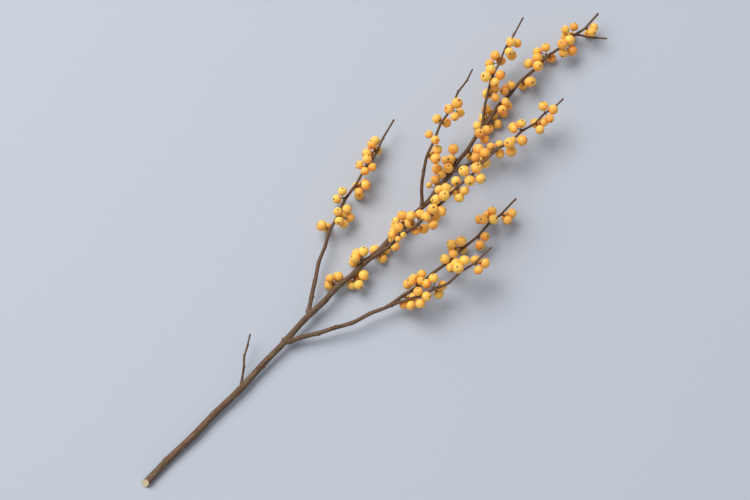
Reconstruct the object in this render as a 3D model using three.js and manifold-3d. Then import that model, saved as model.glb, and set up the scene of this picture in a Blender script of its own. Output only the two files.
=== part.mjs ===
// A cut branch of golden-berried winterberry, lying on a surface.
// Millimetres, +Z up. The branch lies along Y: the cut end at -Y, the tip of the leader at +Y.
// The origin is under the middle of the branch, on the surface that it lies on.
import * as THREE from "three";
import { mergeVertices } from "three/addons/utils/BufferGeometryUtils.js";
import Module from "manifold-3d";

// Driving dimensions
const NODE_SWELLING = 1.12; // a twig is this much thicker where a leaf stood
const CUT_SLANT = 0.95; // slope of the slanted cut through the foot of the stem, whose face looks up
const TIP_BUD_LENGTH = 3.0; // pointed bud at the end of each twig
const TIP_BUD_WIDTH = 1.25; // its widest place, as a multiple of the twig's radius there
const STALK_DIAMETER = 0.9; // the little stalk of a berry, where it meets the berry
const CUSHION_DIAMETER = 1.5; // the thicker foot of the stalks, in the leaf axil
const CUSHION_HEIGHT = 0.9;
const BERRY_RINGS = [0.25, 0.52, 0.77].map((turn) => turn * Math.PI); // from the stalk to the far pole
const BERRY_SIDES = 6;
const PAIR_ANGLE = (75 * Math.PI) / 180; // two berries this far apart are turned as one piece

const BARK = { color: 0x6b5546, roughness: 0.72, metalness: 0 };
const BERRY = { color: 0xf0a83c, roughness: 0.38, metalness: 0 };

// Each twig's rows run from its foot to its tip: x, y, z, radius, and a 1 where a leaf stood.
const TWIGS = [
  { name: "leader", sides: 7, rows: [
    [-30.45, -308.27, 3.4, 3.4], [-29.75, -294.29, 3.59, 3.36], [-29.03, -280.3, 3.78, 3.31, 1],
    [-27.3, -263.94, 4.29, 3.26], [-25.56, -247.58, 4.81, 3.21, 1], [-24.91, -234.15, 5.05, 3.17],
    [-24.21, -220.72, 5.29, 3.13, 1], [-22.59, -205.18, 5.66, 3.08], [-21.1, -189.63, 6.08, 3.03, 1],
    [-20.57, -174.74, 6.54, 2.98], [-20.3, -159.85, 7.05, 2.94, 1], [-19.32, -144.25, 7.73, 2.89],
    [-18.23, -128.67, 8.44, 2.84, 1], [-18.04, -115.33, 9.04, 2.79], [-17.77, -102, 9.72, 2.75, 1],
    [-16.28, -88.7, 10.42, 2.7], [-14.7, -75.42, 11.06, 2.66, 1], [-14.74, -67.64, 11.36, 2.63],
    [-14.68, -59.87, 11.61, 2.61, 1], [-12.96, -50.64, 11.97, 2.58], [-11.12, -41.43, 12.27, 2.54, 1],
    [-10.63, -33.43, 12.34, 2.52], [-10.2, -25.41, 12.37, 2.49, 1], [-8.52, -16.98, 12.41, 2.46],
    [-6.95, -8.52, 12.43, 2.43, 1], [-6.54, 0.87, 12.47, 2.4], [-6.24, 10.26, 12.52, 2.36, 1],
    [-4.94, 18.99, 12.68, 2.33], [-3.7, 27.72, 12.85, 2.3, 1], [-3.74, 35.57, 12.99, 2.27],
    [-3.86, 43.39, 13.12, 2.25, 1], [-2.88, 51.6, 13.02, 2.22], [-2.07, 59.83, 12.9, 2.19, 1],
    [-2.79, 67.43, 12.86, 2.16], [-3.68, 74.99, 12.82, 2.13, 1], [-3.31, 82.98, 12.92, 2.1],
    [-3.08, 90.99, 13.01, 2.07, 1], [-4.37, 98.91, 12.96, 2.04], [-5.78, 106.82, 12.9, 2.01, 1],
    [-5.84, 114.27, 12.79, 1.98], [-5.82, 121.73, 12.7, 1.95, 1], [-7.15, 130.74, 12.78, 1.92],
    [-8.54, 139.74, 12.89, 1.88, 1], [-8.81, 148.96, 13.09, 1.85], [-9.05, 158.17, 13.27, 1.81, 1],
    [-10.2, 166.53, 13.22, 1.78], [-11.19, 174.93, 13.12, 1.74, 1], [-10.84, 183.62, 13.05, 1.71],
    [-10.26, 192.27, 12.96, 1.67, 1], [-10.63, 200.88, 12.99, 1.63], [-10.87, 209.51, 13.02, 1.6, 1],
    [-9.47, 218.16, 13.14, 1.56], [-7.96, 226.78, 13.25, 1.52, 1], [-7.57, 236.18, 13.15, 1.47],
    [-6.9, 245.6, 13.04, 1.43, 1], [-4.75, 253.91, 13.05, 1.39], [-2.4, 262.17, 13.08, 1.35, 1],
    [-1.6, 269.84, 12.88, 1.31], [-0.84, 277.5, 12.8, 1.27, 1], [2.68, 291.2, 13.61, 1.18, 1],
    [3.13, 299.72, 14.51, 1.13], [3.55, 308.23, 15.4, 1.05],
  ] },
  { name: "right_low", sides: 6, rows: [
    [-18.33, -130.56, 8.36, 2.2], [-13.74, -123.09, 8.71, 2.16], [-9.1, -115.61, 9.08, 2.12, 1],
    [-4.46, -109.26, 9.56, 2.09], [0.28, -103.01, 10.17, 2.05, 1], [4.83, -96, 10.87, 2.02],
    [9.24, -88.93, 11.56, 1.98, 1], [14.22, -82.12, 12.23, 1.94], [18.81, -74.99, 12.72, 1.9, 1],
    [22.22, -66.69, 12.86, 1.86], [25.44, -58.34, 12.91, 1.82, 1], [29.74, -50.57, 13, 1.78],
    [33.87, -42.66, 13.06, 1.74, 1], [36.06, -34.07, 13.18, 1.7], [37.96, -25.44, 13.27, 1.66, 1],
    [40.69, -17.85, 13.27, 1.63], [43.22, -10.15, 13.24, 1.59, 1], [44.41, -0.6, 13.16, 1.54],
    [45.46, 8.96, 13.09, 1.5, 1], [47.75, 18.11, 13.03, 1.45], [49.95, 27.29, 12.94, 1.41, 1],
    [50.73, 35.38, 12.83, 1.37], [51.41, 43.48, 12.74, 1.33, 1], [53.12, 52.77, 12.77, 1.28],
    [54.77, 62.06, 12.92, 1.23, 1], [55.18, 71.3, 13.15, 1.19], [55.53, 80.53, 13.53, 1.14, 1],
    [58.41, 93.43, 14.71, 1.06, 1], [58.98, 102.58, 15.13, 1.01], [59.55, 111.73, 15.5, 0.95],
  ] },
  { name: "right_outer", sides: 6, rows: [
    [32.98, -44.69, 13.04, 1.45], [36.74, -38.42, 14.82, 1.41], [40.52, -32.15, 16.6, 1.38, 1],
    [45.58, -25.12, 19.02, 1.33], [50.61, -18.19, 21.79, 1.29, 1], [54.09, -12.11, 23.94, 1.25],
    [57.27, -5.89, 26.04, 1.21, 1], [61.24, 0.38, 28.19, 1.17], [64.61, 7.15, 30.09, 1.13, 1],
    [66.05, 14.41, 31.84, 1.09], [67.19, 21.72, 33.49, 1.05, 1], [69.62, 28.4, 34.97, 1.01],
    [71.88, 35.16, 36.36, 0.97, 1], [73.24, 44.45, 38.19, 0.92], [74.55, 53.73, 40, 0.85],
  ] },
  { name: "left_low", sides: 6, rows: [
    [-17.31, -97.01, 9.99, 2.05], [-21.85, -89.04, 10.55, 2], [-26.46, -81.15, 11.11, 1.96, 1],
    [-30.01, -74.57, 11.49, 1.92], [-33.36, -67.89, 11.81, 1.88, 1], [-37.94, -60, 12.38, 1.84],
    [-42.37, -52.01, 12.9, 1.79, 1], [-45.34, -44.07, 12.99, 1.74], [-48.06, -36.06, 13.01, 1.7, 1],
    [-51.6, -28.83, 13.04, 1.66], [-54.88, -21.47, 13.01, 1.62, 1], [-56.43, -13.8, 13.14, 1.57],
    [-57.78, -6.12, 13.25, 1.53, 1], [-60.52, 2.02, 13.15, 1.49], [-63.09, 10.24, 13.07, 1.44, 1],
    [-64.12, 19.08, 13.06, 1.39], [-64.82, 27.93, 12.99, 1.34, 1], [-66.72, 37.24, 12.83, 1.29],
    [-68.65, 46.56, 12.81, 1.23, 1], [-69.33, 55.79, 13.27, 1.18], [-70.22, 64.98, 14.03, 1.13, 1],
    [-74.36, 78.69, 14.83, 1.04, 1], [-75.93, 88.2, 15.94, 0.97], [-77.45, 97.73, 17, 0.9],
  ] },
  { name: "crown", sides: 6, rows: [
    [-10.44, -28.43, 12.36, 1.85], [-7.75, -21.71, 16.78, 1.8], [-5.07, -15.01, 21.22, 1.76, 1],
    [-2.48, -9.01, 25.3, 1.72], [0.01, -2.83, 29.19, 1.68, 1], [1.87, 4.29, 33.21, 1.63],
    [3.68, 11.48, 37.08, 1.59, 1], [6.73, 19.04, 40.99, 1.54], [9.58, 26.89, 44.52, 1.49, 1],
    [10.66, 34.78, 47.43, 1.44], [11.52, 42.78, 50.03, 1.39, 1], [13.67, 50.99, 52.66, 1.34],
    [15.73, 59.26, 55.1, 1.29, 1], [16.35, 67.24, 57.08, 1.24], [16.91, 75.29, 58.82, 1.19, 1],
    [18.86, 83.4, 60.47, 1.14], [20.73, 91.54, 62.05, 1.09, 1], [21.02, 98.96, 63.64, 1.04],
    [21.22, 106.36, 65.3, 1, 1], [22.88, 116.04, 67.16, 0.93], [24.55, 125.73, 69, 0.85],
  ] },
  { name: "left_rise", sides: 6, rows: [
    [-2.88, 51.6, 13.02, 1.7], [-7.48, 56.66, 17.1, 1.65], [-12.14, 61.61, 21.24, 1.61, 1],
    [-16.78, 67.69, 25.64, 1.55], [-20.73, 74.55, 29.48, 1.5, 1], [-24.33, 80.83, 32.42, 1.45],
    [-27.57, 87.46, 35.05, 1.41, 1], [-29.5, 94.74, 37.21, 1.36], [-31.17, 102.1, 39.17, 1.31, 1],
    [-33.94, 110.1, 41.55, 1.26], [-36.31, 118.37, 43.56, 1.2, 1], [-36.98, 125.96, 44.78, 1.15],
    [-37.63, 133.55, 45.91, 1.1, 1], [-40.02, 142.16, 47.52, 1.04], [-42.44, 150.77, 49.03, 0.98, 1],
    [-43.38, 164.18, 50.66, 0.88, 1], [-45.45, 173.73, 52, 0.8],
  ] },
  { name: "right_high", sides: 6, rows: [
    [-4, 96.94, 12.98, 1.55], [-0.49, 103.12, 14.75, 1.51], [3.07, 109.27, 16.54, 1.47, 1],
    [6.76, 115.26, 18.16, 1.44], [10.09, 121.53, 19.65, 1.4, 1], [12.74, 128.58, 21.34, 1.36],
    [15.17, 135.71, 22.93, 1.32, 1], [18.7, 143.37, 24.28, 1.27], [21.94, 151.24, 25.31, 1.23, 1],
    [22.87, 158.39, 25.87, 1.19], [23.6, 165.53, 26.23, 1.15, 1], [25.93, 172.76, 26.61, 1.11],
    [28.25, 180.01, 26.95, 1.07, 1], [29.22, 192.37, 27.49, 0.99, 1], [32.69, 205.65, 27.66, 0.91, 1],
    [33.55, 213.73, 28, 0.85],
  ] },
  { name: "left_high", sides: 6, rows: [
    [-8.81, 148.96, 13.09, 1.4], [-16.75, 159.99, 17.62, 1.33, 1], [-20.92, 166.96, 20.16, 1.29],
    [-24.45, 174.36, 22.23, 1.25, 1], [-28.22, 181.8, 24.08, 1.21], [-31.65, 189.48, 25.67, 1.16, 1],
    [-33.59, 197.14, 26.87, 1.12], [-35.19, 204.88, 27.76, 1.08, 1], [-38.02, 213.28, 28.24, 1.03],
    [-40.55, 221.78, 28.6, 0.99, 1], [-42.19, 235.63, 29.8, 0.91, 1], [-43.83, 243.68, 31.38, 0.86],
    [-45.45, 251.73, 33, 0.8],
  ] },
  { name: "red_twig", sides: 6, rows: [
    [-0.07, 280.5, 12.98, 1.0], [5.2, 283.7, 12.5, 0.96, 1], [10.2, 286.4, 12.0, 0.92],
    [15.4, 289.9, 12.3, 0.87, 1], [19.7, 292.1, 13.2, 0.83], [23.8, 294.6, 14.3, 0.78],
  ] },
  { name: "low_spur", sides: 6, rows: [
    [-20.99, -187.76, 6.14, 1.2], [-26.03, -179.56, 7.45, 1.13, 1], [-30.82, -171.8, 9.37, 1.05, 1],
    [-37.09, -163.26, 11.82, 0.97, 1], [-41.22, -154.47, 12.8, 0.89, 1], [-45.45, -146.27, 13.5, 0.8],
  ] },
];

const CLUSTERS = [
  { hub: [-17.92, -58.77, 10.11], out: [-0.9, 0.14, -0.41], berries: [[-24.48, -56.68, 14.16, 4.07], [-22.12, -60.16, 5.35, 5.35], [-20.46, -49.92, 8.64, 5.19]] },
  { hub: [-8.26, -41.16, 10.02], out: [0.77, -0.09, -0.63], berries: [[-9.03, -37.57, 4.53, 4.53], [-2.69, -33.94, 11.34, 5.12], [-6.57, -46.94, 4.82, 4.82], [-0.14, -43.82, 11.68, 4.75]] },
  { hub: [-13.6, -24.38, 12.85], out: [-0.98, 0.12, 0.13], berries: [[-16.06, -18.16, 20.27, 4.76], [-21.76, -20.75, 5.2, 5.2], [-18.29, -27.91, 19.52, 4.93], [-17.98, -29.69, 9.39, 5.03]] },
  { hub: [-6.42, -7.93, 9], out: [0.13, 0, -0.99], berries: [[-11.38, -7.55, 5.15, 5.15], [-0.7, -8.87, 4.51, 4.51], [-4.35, 0.25, 4.99, 4.99]] },
  { hub: [-3.68, 10.6, 14.8], out: [0.74, -0.07, 0.67], berries: [[-6.5, 14.21, 22.57, 4.42], [2.6, 5.32, 15.17, 4.39], [-3.43, 7.51, 19.73, 3.14]] },
  { hub: [-6.8, 28.56, 11.79], out: [-0.94, 0.07, -0.32], berries: [[-11.02, 31.8, 19.66, 4.73], [-6.77, 31.78, 4.59, 4.59], [-12.91, 25.13, 13.78, 4.02], [-12.02, 23.6, 4.8, 4.8]] },
  { hub: [1.11, 60.43, 13.25], out: [0.99, 0, 0.11], berries: [[3.87, 64, 4.5, 4.5], [1.65, 62.26, 18.96, 2.88], [5.52, 55.49, 8.89, 4.87], [7.39, 56.71, 18.62, 4.77]] },
  { hub: [-6.03, 75.53, 10.72], out: [-0.74, -0.02, -0.67], berries: [[-12.02, 72.81, 10.91, 3], [-3.97, 78.41, 4.72, 4.72], [-10.63, 80.72, 11.51, 4.72]] },
  { hub: [-5.94, 91.4, 14.2], out: [-0.92, -0.06, 0.39], berries: [[-6.93, 94.04, 23.2, 4.81], [-8.31, 87.01, 17.79, 3.82], [-15.96, 89.42, 12.88, 5.22]] },
  { hub: [-8.82, 107.14, 12.88], out: [-1, -0.09, -0.01], berries: [[-15.62, 112.7, 20.35, 5.08], [-11.85, 107.49, 4.8, 4.8], [-11.49, 103.8, 18.92, 4.49], [-15.71, 101.78, 11.15, 4.24]] },
  { hub: [-3.1, 122.51, 11.72], out: [0.94, 0.06, -0.33], berries: [[-1.48, 122.12, 3.91, 3.91], [3.94, 123.95, 14.92, 4.37], [-0.03, 129.58, 8.56, 4.66]] },
  { hub: [-6.44, 140.51, 14.77], out: [0.76, 0.06, 0.65], berries: [[-0.21, 141.54, 12.95, 4.48], [-6.57, 140.13, 21.57, 4.57], [-4.09, 148.4, 17.87, 4.48]] },
  { hub: [-9.9, 158.74, 10.62], out: [-0.29, -0.01, -0.96], berries: [[-16.03, 159.71, 4.64, 4.64], [-2.08, 163.81, 4.55, 4.55], [-14.73, 149.8, 5.03, 5.03], [-5.31, 154.37, 5.1, 5.1], [-18.13, 166.15, 11.66, 4.77], [-10.89, 168.21, 4.96, 4.96]] },
  { hub: [-8.6, 175.64, 13.81], out: [0.97, 0.04, 0.25], berries: [[-4.73, 176.15, 4.68, 4.68], [-7.43, 181.14, 20.25, 4.2], [-4.89, 172.58, 21, 4.42], [-4.53, 182.14, 11.89, 4.37]] },
  { hub: [-12.81, 192.91, 13.52], out: [-0.98, 0.01, 0.21], berries: [[-14.54, 198.34, 17.87, 4.24], [-17.19, 196.2, 8.76, 4.08], [-15.48, 189.31, 19.48, 4.64]] },
  { hub: [-8.41, 209.96, 12.27], out: [0.95, -0.06, -0.3], berries: [[-7.94, 209.83, 4.5, 4.5], [-2.57, 211.93, 18.62, 5.02], [-3.16, 216.63, 9.54, 4.88]] },
  { hub: [-9.05, 227.5, 15.41], out: [-0.47, 0.05, 0.88], berries: [[-6.3, 228.47, 22.02, 5.1], [-15.77, 226.72, 16.21, 4.91], [-12.62, 235.84, 18.89, 4.76]] },
  { hub: [-8.64, 246.46, 11.58], out: [-0.78, 0.11, -0.62], berries: [[-13.32, 250.17, 16.68, 4.51], [-4.26, 249.35, 4.77, 4.77], [-17.34, 243.12, 11.9, 4.57], [-11.14, 242.41, 4.66, 4.66]] },
  { hub: [-0.69, 262.47, 14.64], out: [0.71, -0.13, 0.69], berries: [[7.49, 265.24, 12.81, 5.28], [0.35, 269.81, 19.44, 5.15], [3.24, 256.66, 16.02, 4.48], [-1.82, 260.36, 23.73, 5.12]] },
  { hub: [-2.81, 278.48, 12.31], out: [-0.96, 0.18, -0.23], berries: [[-5.33, 283.7, 18.21, 4.29], [-4.06, 280.12, 4.07, 4.07], [-10.3, 276.61, 16.34, 4.22], [-7.22, 273.74, 8.76, 4.11]] },
  { hub: [4.74, 291.6, 13.06], out: [0.95, -0.09, -0.29], berries: [[7.46, 292.77, 4.49, 4.49], [11, 290.89, 17.73, 4.66], [8.58, 297.97, 12.04, 4.4]] },
  { hub: [40.63, -25.59, 13.32], out: [0.96, -0.28, 0.02], berries: [[44.45, -23.25, 4.9, 4.9], [46.44, -20.88, 14.08, 4.45], [43.6, -31.08, 10.61, 4.49], [50.18, -28.95, 16.93, 4.53]] },
  { hub: [41.08, -9.05, 14.21], out: [-0.9, 0.2, 0.39], berries: [[42.65, -5.76, 19.4, 4.27], [34.8, -5.61, 9.78, 4.55], [36.5, -12.24, 22.02, 4.69], [34.35, -14.63, 12.88, 4.66], [38.51, 1.03, 15.14, 4.41]] },
  { hub: [50.82, 27.78, 15.12], out: [0.33, -0.04, 0.94], berries: [[49.46, 33.56, 20.17, 4.43], [56.07, 22.32, 19.57, 4.87], [46.39, 24.53, 20.79, 4.79]] },
  { hub: [49.36, 44.35, 12.1], out: [-0.95, 0.12, -0.29], berries: [[46.93, 48.36, 18.49, 5.03], [50.85, 46.53, 4.43, 4.43], [41.35, 41, 14.16, 4.83], [43.75, 40.34, 4.65, 4.65]] },
  { hub: [56.95, 62.43, 12.82], out: [0.99, -0.11, -0.06], berries: [[61.3, 65.84, 18.53, 4.54], [61.37, 59.46, 4.98, 4.98], [62.01, 57.06, 15.74, 4.37]] },
  { hub: [53.86, 81.29, 14.56], out: [-0.87, 0.08, 0.49], berries: [[56.88, 83.07, 21.51, 4.65], [48.53, 85.98, 9.76, 4.46], [50.05, 76.65, 20.89, 4.4], [45.97, 77.22, 12.4, 4.7], [50.54, 89.35, 18.21, 4.52]] },
  { hub: [60.21, 94, 13.84], out: [0.88, -0.01, -0.47], berries: [[62.7, 97.02, 4.69, 4.69], [67.07, 92.18, 16.38, 4.36], [65.42, 100.87, 13.21, 4.7]] },
  { hub: [51.38, -18.72, 23.86], out: [0.21, -0.46, 0.86], berries: [[56.67, -23.59, 24.46, 4.66], [48.16, -16.78, 29.08, 4.43], [57.43, -15.68, 29.85, 4.59]] },
  { hub: [56.34, -4.25, 24.91], out: [-0.58, 0.54, -0.61], berries: [[51.72, 1.32, 32.15, 4.63], [62.53, -3.83, 16.44, 4.87], [49.28, -5.59, 25.88, 4.67], [61.19, 3.33, 22.82, 4.48]] },
  { hub: [65.59, 22.57, 34.4], out: [-0.9, 0.14, 0.4], berries: [[64.23, 21.24, 41.1, 5.11], [58.88, 25.44, 30.5, 5.19], [63.57, 31.25, 37.99, 5.05]] },
  { hub: [72.96, 35.83, 34.9], out: [0.51, 0.05, -0.86], berries: [[69.91, 39.85, 28.85, 4.75], [78.61, 33.14, 34.47, 4.43], [78.81, 42.64, 32.52, 4.94]] },
  { hub: [-57.26, -21.57, 11.87], out: [-0.86, -0.26, -0.45], berries: [[-63.43, -23, 13.6, 5.21], [-60.13, -19.39, 4.48, 4.48]] },
  { hub: [-55.89, -5.02, 14.54], out: [0.83, 0.21, 0.52], berries: [[-48.91, 0.82, 9.82, 4.5], [-58.7, -4.83, 23.07, 4.2], [-48.91, -7.97, 12.4, 4.31], [-52.49, -10.36, 20.19, 4.25], [-55.2, 4.11, 15.77, 4.42], [-53.87, -2.95, 17.94, 2.75]] },
  { hub: [-65.48, 10.35, 13.54], out: [-0.96, -0.2, 0.2], berries: [[-69.05, 13.69, 19.38, 4.29], [-68.75, 5.08, 17.71, 4.14], [-69.9, 6.97, 8.92, 4.3]] },
  { hub: [-62.91, 28.75, 11.95], out: [0.88, 0.1, -0.46], berries: [[-65.14, 29.8, 4.27, 4.27], [-56.32, 33.28, 17.12, 4.73], [-57.59, 24.61, 4.56, 4.56], [-57.58, 24.85, 13.6, 4.15], [-60.21, 36, 8.8, 4.51]] },
  { hub: [-68.53, 47.14, 14.95], out: [0.1, -0.01, 1], berries: [[-63.12, 50.56, 17.68, 4.11], [-71.26, 52.67, 20.56, 4.44], [-65.43, 42.46, 19.72, 4.23], [-73.79, 44.48, 17.71, 4.26]] },
  { hub: [-72.24, 65.3, 13.45], out: [-0.94, -0.13, -0.31], berries: [[-77.54, 66.99, 19.4, 4.56], [-71.81, 68.58, 8.46, 4.2], [-76.41, 58.44, 14.65, 4.95], [-75.01, 60.54, 4.84, 4.84], [-78.97, 73.33, 12.17, 4.83]] },
  { hub: [3.24, 11, 39.59], out: [-0.24, -0.39, 0.89], berries: [[6.02, 12.28, 44.23, 2.8], [-2.03, 14.94, 44.84, 4.89], [4.9, 6.37, 43.14, 2.98], [-2.6, 6.5, 40.76, 4.16]] },
  { hub: [9.09, 28.44, 42.63], out: [-0.26, 0.42, -0.87], berries: [[-0.2, 30.62, 45.05, 4.82], [15.13, 31.47, 33.52, 4.75], [1.96, 26.52, 36.25, 4.79], [10.91, 24.17, 37.4, 4.2], [5, 38.18, 41.01, 4.87]] },
  { hub: [13.55, 42.65, 51.27], out: [0.84, -0.3, 0.46], berries: [[18.47, 44.59, 46.43, 4.49], [13.94, 44.56, 61.63, 4.95], [21.41, 36.08, 50.55, 5.07], [13.04, 36.13, 56.29, 4.74], [19.94, 49.5, 54.85, 5.03]] },
  { hub: [13.74, 59.99, 55.93], out: [-0.95, 0.07, 0.31], berries: [[14.32, 60.15, 65.72, 5.01], [5.22, 64.63, 52.79, 4.39], [9.87, 54.27, 59.33, 4.41], [10.27, 68.14, 60.42, 5.06]] },
  { hub: [17.94, 76.11, 57.09], out: [0.45, 0.12, -0.89], berries: [[11.89, 81.23, 52.55, 4.81], [24.72, 77.37, 59.69, 4.2], [16.99, 74.42, 48.15, 4.42], [24.13, 70.6, 53.26, 4.82]] },
  { hub: [20.73, 91.75, 64.1], out: [-0.04, -0.19, 0.98], berries: [[29.9, 93.5, 67.75, 5.02], [23.74, 85.16, 68.51, 5.04], [14.06, 88.5, 70.7, 5.09], [21, 97.81, 71.51, 5.22]] },
  { hub: [20.14, 107.35, 64], out: [-0.61, 0.22, -0.76], berries: [[13.25, 106.72, 65.25, 4.54], [21.31, 111.16, 55.74, 5.35], [17.05, 115.64, 64.28, 4.86]] },
  { hub: [-25.67, 88.91, 34.84], out: [0.9, 0.39, -0.17], berries: [[-24.48, 92.6, 29.28, 4.68], [-18.75, 89.18, 40.14, 5.14], [-23.59, 97.67, 37.47, 4.66]] },
  { hub: [-32.24, 101.87, 41.19], out: [-0.41, -0.35, 0.84], berries: [[-29.28, 101.24, 47, 4.21], [-37.98, 102.54, 43.98, 3.96]] },
  { hub: [-36.98, 119.25, 41.68], out: [-0.27, 0.14, -0.95], berries: [[-42.56, 120.3, 39.53, 4.63], [-34.14, 123.9, 36.7, 4.62]] },
  { hub: [-36.05, 134.26, 47.04], out: [0.85, 0.07, 0.52], berries: [[-29.55, 138.23, 41.86, 4.44], [-38.06, 131.18, 52.19, 4.6], [-29.26, 129.35, 50.7, 4.18], [-34.62, 139, 57.92, 5.35]] },
  { hub: [9.72, 121.81, 22], out: [-0.26, -0.11, 0.96], berries: [[13.14, 121.68, 28.08, 5.02], [3.59, 126.1, 26.09, 5.35]] },
  { hub: [15.15, 136.79, 20.89], out: [-0.11, 0.24, -0.97], berries: [[9.61, 138.07, 17.34, 4.1], [20.47, 138.91, 15.09, 4.49], [14.98, 144.41, 19.67, 4.19]] },
  { hub: [23.69, 151.27, 26.66], out: [0.75, -0.26, 0.61], berries: [[23.3, 153.76, 30.25, 2.63], [28.63, 144.35, 25.61, 5.19], [23.64, 146.92, 34.86, 5.3], [30.19, 158.05, 30.03, 5.15]] },
  { hub: [21.73, 166.52, 26.41], out: [-0.98, 0.2, 0.07], berries: [[19.74, 169.63, 32.83, 4.41], [17.01, 162.26, 28.65, 4.15], [14.33, 165.85, 20.22, 5.06]] },
  { hub: [29.48, 180.46, 25.4], out: [0.58, -0.07, -0.81], berries: [[27.32, 183.09, 18.28, 4.54], [35.63, 178.61, 25.08, 4.41], [33.58, 187.36, 23.57, 4.36]] },
  { hub: [29.7, 192.85, 29.32], out: [0.2, -0.06, 0.98], berries: [[36.89, 190.76, 31.97, 4.4], [24.98, 195.77, 34.97, 4.82], [33.91, 199.68, 33.17, 4.75]] },
  { hub: [-23.68, 175.81, 20.73], out: [0.48, 0.44, -0.76], berries: [[-27.17, 178.23, 13.65, 4.95], [-17.38, 178.29, 20.75, 4.31], [-24, 184.85, 20.39, 4.68]] },
  { hub: [-31.35, 189.85, 27.76], out: [0.24, -0.09, 0.97], berries: [[-26.44, 195.36, 30.65, 4.85], [-36.83, 193.68, 31.74, 4.87], [-25.25, 185.58, 32.27, 4.8], [-35.07, 183.97, 34.94, 5.17]] },
  { hub: [-36.62, 205.24, 26.33], out: [-0.65, -0.11, -0.75], berries: [[-43.13, 208.64, 27.87, 4.73], [-36.86, 210.3, 20.64, 4.65], [-42.67, 200.07, 23.79, 4.44]] },
  { hub: [-38.85, 222.74, 28.68], out: [0.98, 0.2, 0.02], berries: [[-38.62, 225.91, 36.81, 4.82], [-31.97, 220.11, 24.08, 4.97], [-34.21, 218.19, 33.32, 4.39], [-34.51, 231.11, 29.77, 4.52]] },
];

const wasm = await Module();
wasm.setup();

// A closed geometry as a solid that can be joined.
function solid(geometry) {
  const g = geometry.index ? geometry.toNonIndexed() : geometry.clone();
  g.deleteAttribute("normal");
  g.deleteAttribute("uv");
  const m = mergeVertices(g, 1e-4);
  return new wasm.Manifold(
    new wasm.Mesh({
      numProp: 3,
      vertProperties: new Float32Array(m.attributes.position.array),
      triVerts: new Uint32Array(m.index.array),
    }),
  );
}

// Several closed geometries that grew together, as one geometry.
function joined(geometries) {
  const made = geometries.map(solid).reduce((a, b) => a.add(b));
  const mesh = made.getMesh();
  const vertices = new Float32Array(mesh.numVert * 3);
  for (let i = 0; i < mesh.numVert; i++)
    vertices.set(
      mesh.vertProperties.subarray(i * mesh.numProp, i * mesh.numProp + 3),
      i * 3,
    );
  const g = new THREE.BufferGeometry()
    .setAttribute("position", new THREE.BufferAttribute(vertices, 3))
    .setIndex(new THREE.BufferAttribute(new Uint32Array(mesh.triVerts), 1));
  g.computeVertexNormals();
  return g;
}

// A turned shape whose axis follows any line: each row has its centre, its radius, and the turn that takes
// +Y to the direction of the axis there. A slant tips the row's plane.
function turnedAlong(rows, sides) {
  const turned = new THREE.LatheGeometry(
    rows.map((row, i) => new THREE.Vector2(row.r, i)),
    sides,
  );
  const position = turned.attributes.position;
  const v = new THREE.Vector3();
  for (let i = 0; i < position.count; i++) {
    v.fromBufferAttribute(position, i);
    const row = rows[Math.round(v.y)];
    v.y = (row.slant ?? 0) * v.z;
    v.applyQuaternion(row.turn).add(row.centre);
    position.setXYZ(i, v.x, v.y, v.z);
  }
  return turned;
}

const Y_AXIS = new THREE.Vector3(0, 1, 0);

// A twig with its swollen nodes and the pointed bud at its tip.
function twigGeometry({ rows, sides }, cutFoot) {
  const curve = new THREE.CatmullRomCurve3(
    rows.map(([x, y, z]) => new THREE.Vector3(x, y, z)),
    false,
    "centripetal",
  );
  const made = [];
  let before = Y_AXIS;
  let turn = new THREE.Quaternion();
  rows.forEach(([, , , r, node], i) => {
    const at = i / (rows.length - 1);
    const ahead = curve
      .getPoint(Math.min(1, at + 1e-3))
      .sub(curve.getPoint(Math.max(0, at - 1e-3)))
      .normalize();
    turn = new THREE.Quaternion()
      .setFromUnitVectors(before, ahead)
      .multiply(turn); // carried along without twist
    before = ahead;
    made.push({
      centre: curve.getPoint(at),
      r: node ? r * NODE_SWELLING : r,
      turn,
    });
  });
  const foot = made[0];
  const tip = made[made.length - 1];
  const bud = (along, width) => ({
    centre: tip.centre
      .clone()
      .addScaledVector(before, along * TIP_BUD_LENGTH),
    r: tip.r * TIP_BUD_WIDTH * width,
    turn,
  });
  if (cutFoot) foot.slant = CUT_SLANT;
  return turnedAlong(
    [{ ...foot, r: 0 }, ...made, bud(0.35, 1), bud(0.75, 0.6), bud(1, 0)],
    sides,
  );
}

// The rows of one berry on its stalk, from the axil to the far pole.
function berryRows(start, [x, y, z, r], turn) {
  const axis = Y_AXIS.clone().applyQuaternion(turn);
  const reach = new THREE.Vector3(x, y, z).distanceTo(start);
  const stalk = STALK_DIAMETER / 2;
  return [
    [stalk, reach - Math.sqrt(r * r - stalk * stalk)],
    ...BERRY_RINGS.map((a) => [r * Math.sin(a), reach - r * Math.cos(a)]),
    [0, reach + r],
  ].map(([radius, along]) => ({
    centre: start.clone().addScaledVector(axis, along),
    r: radius,
    turn,
  }));
}

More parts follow.
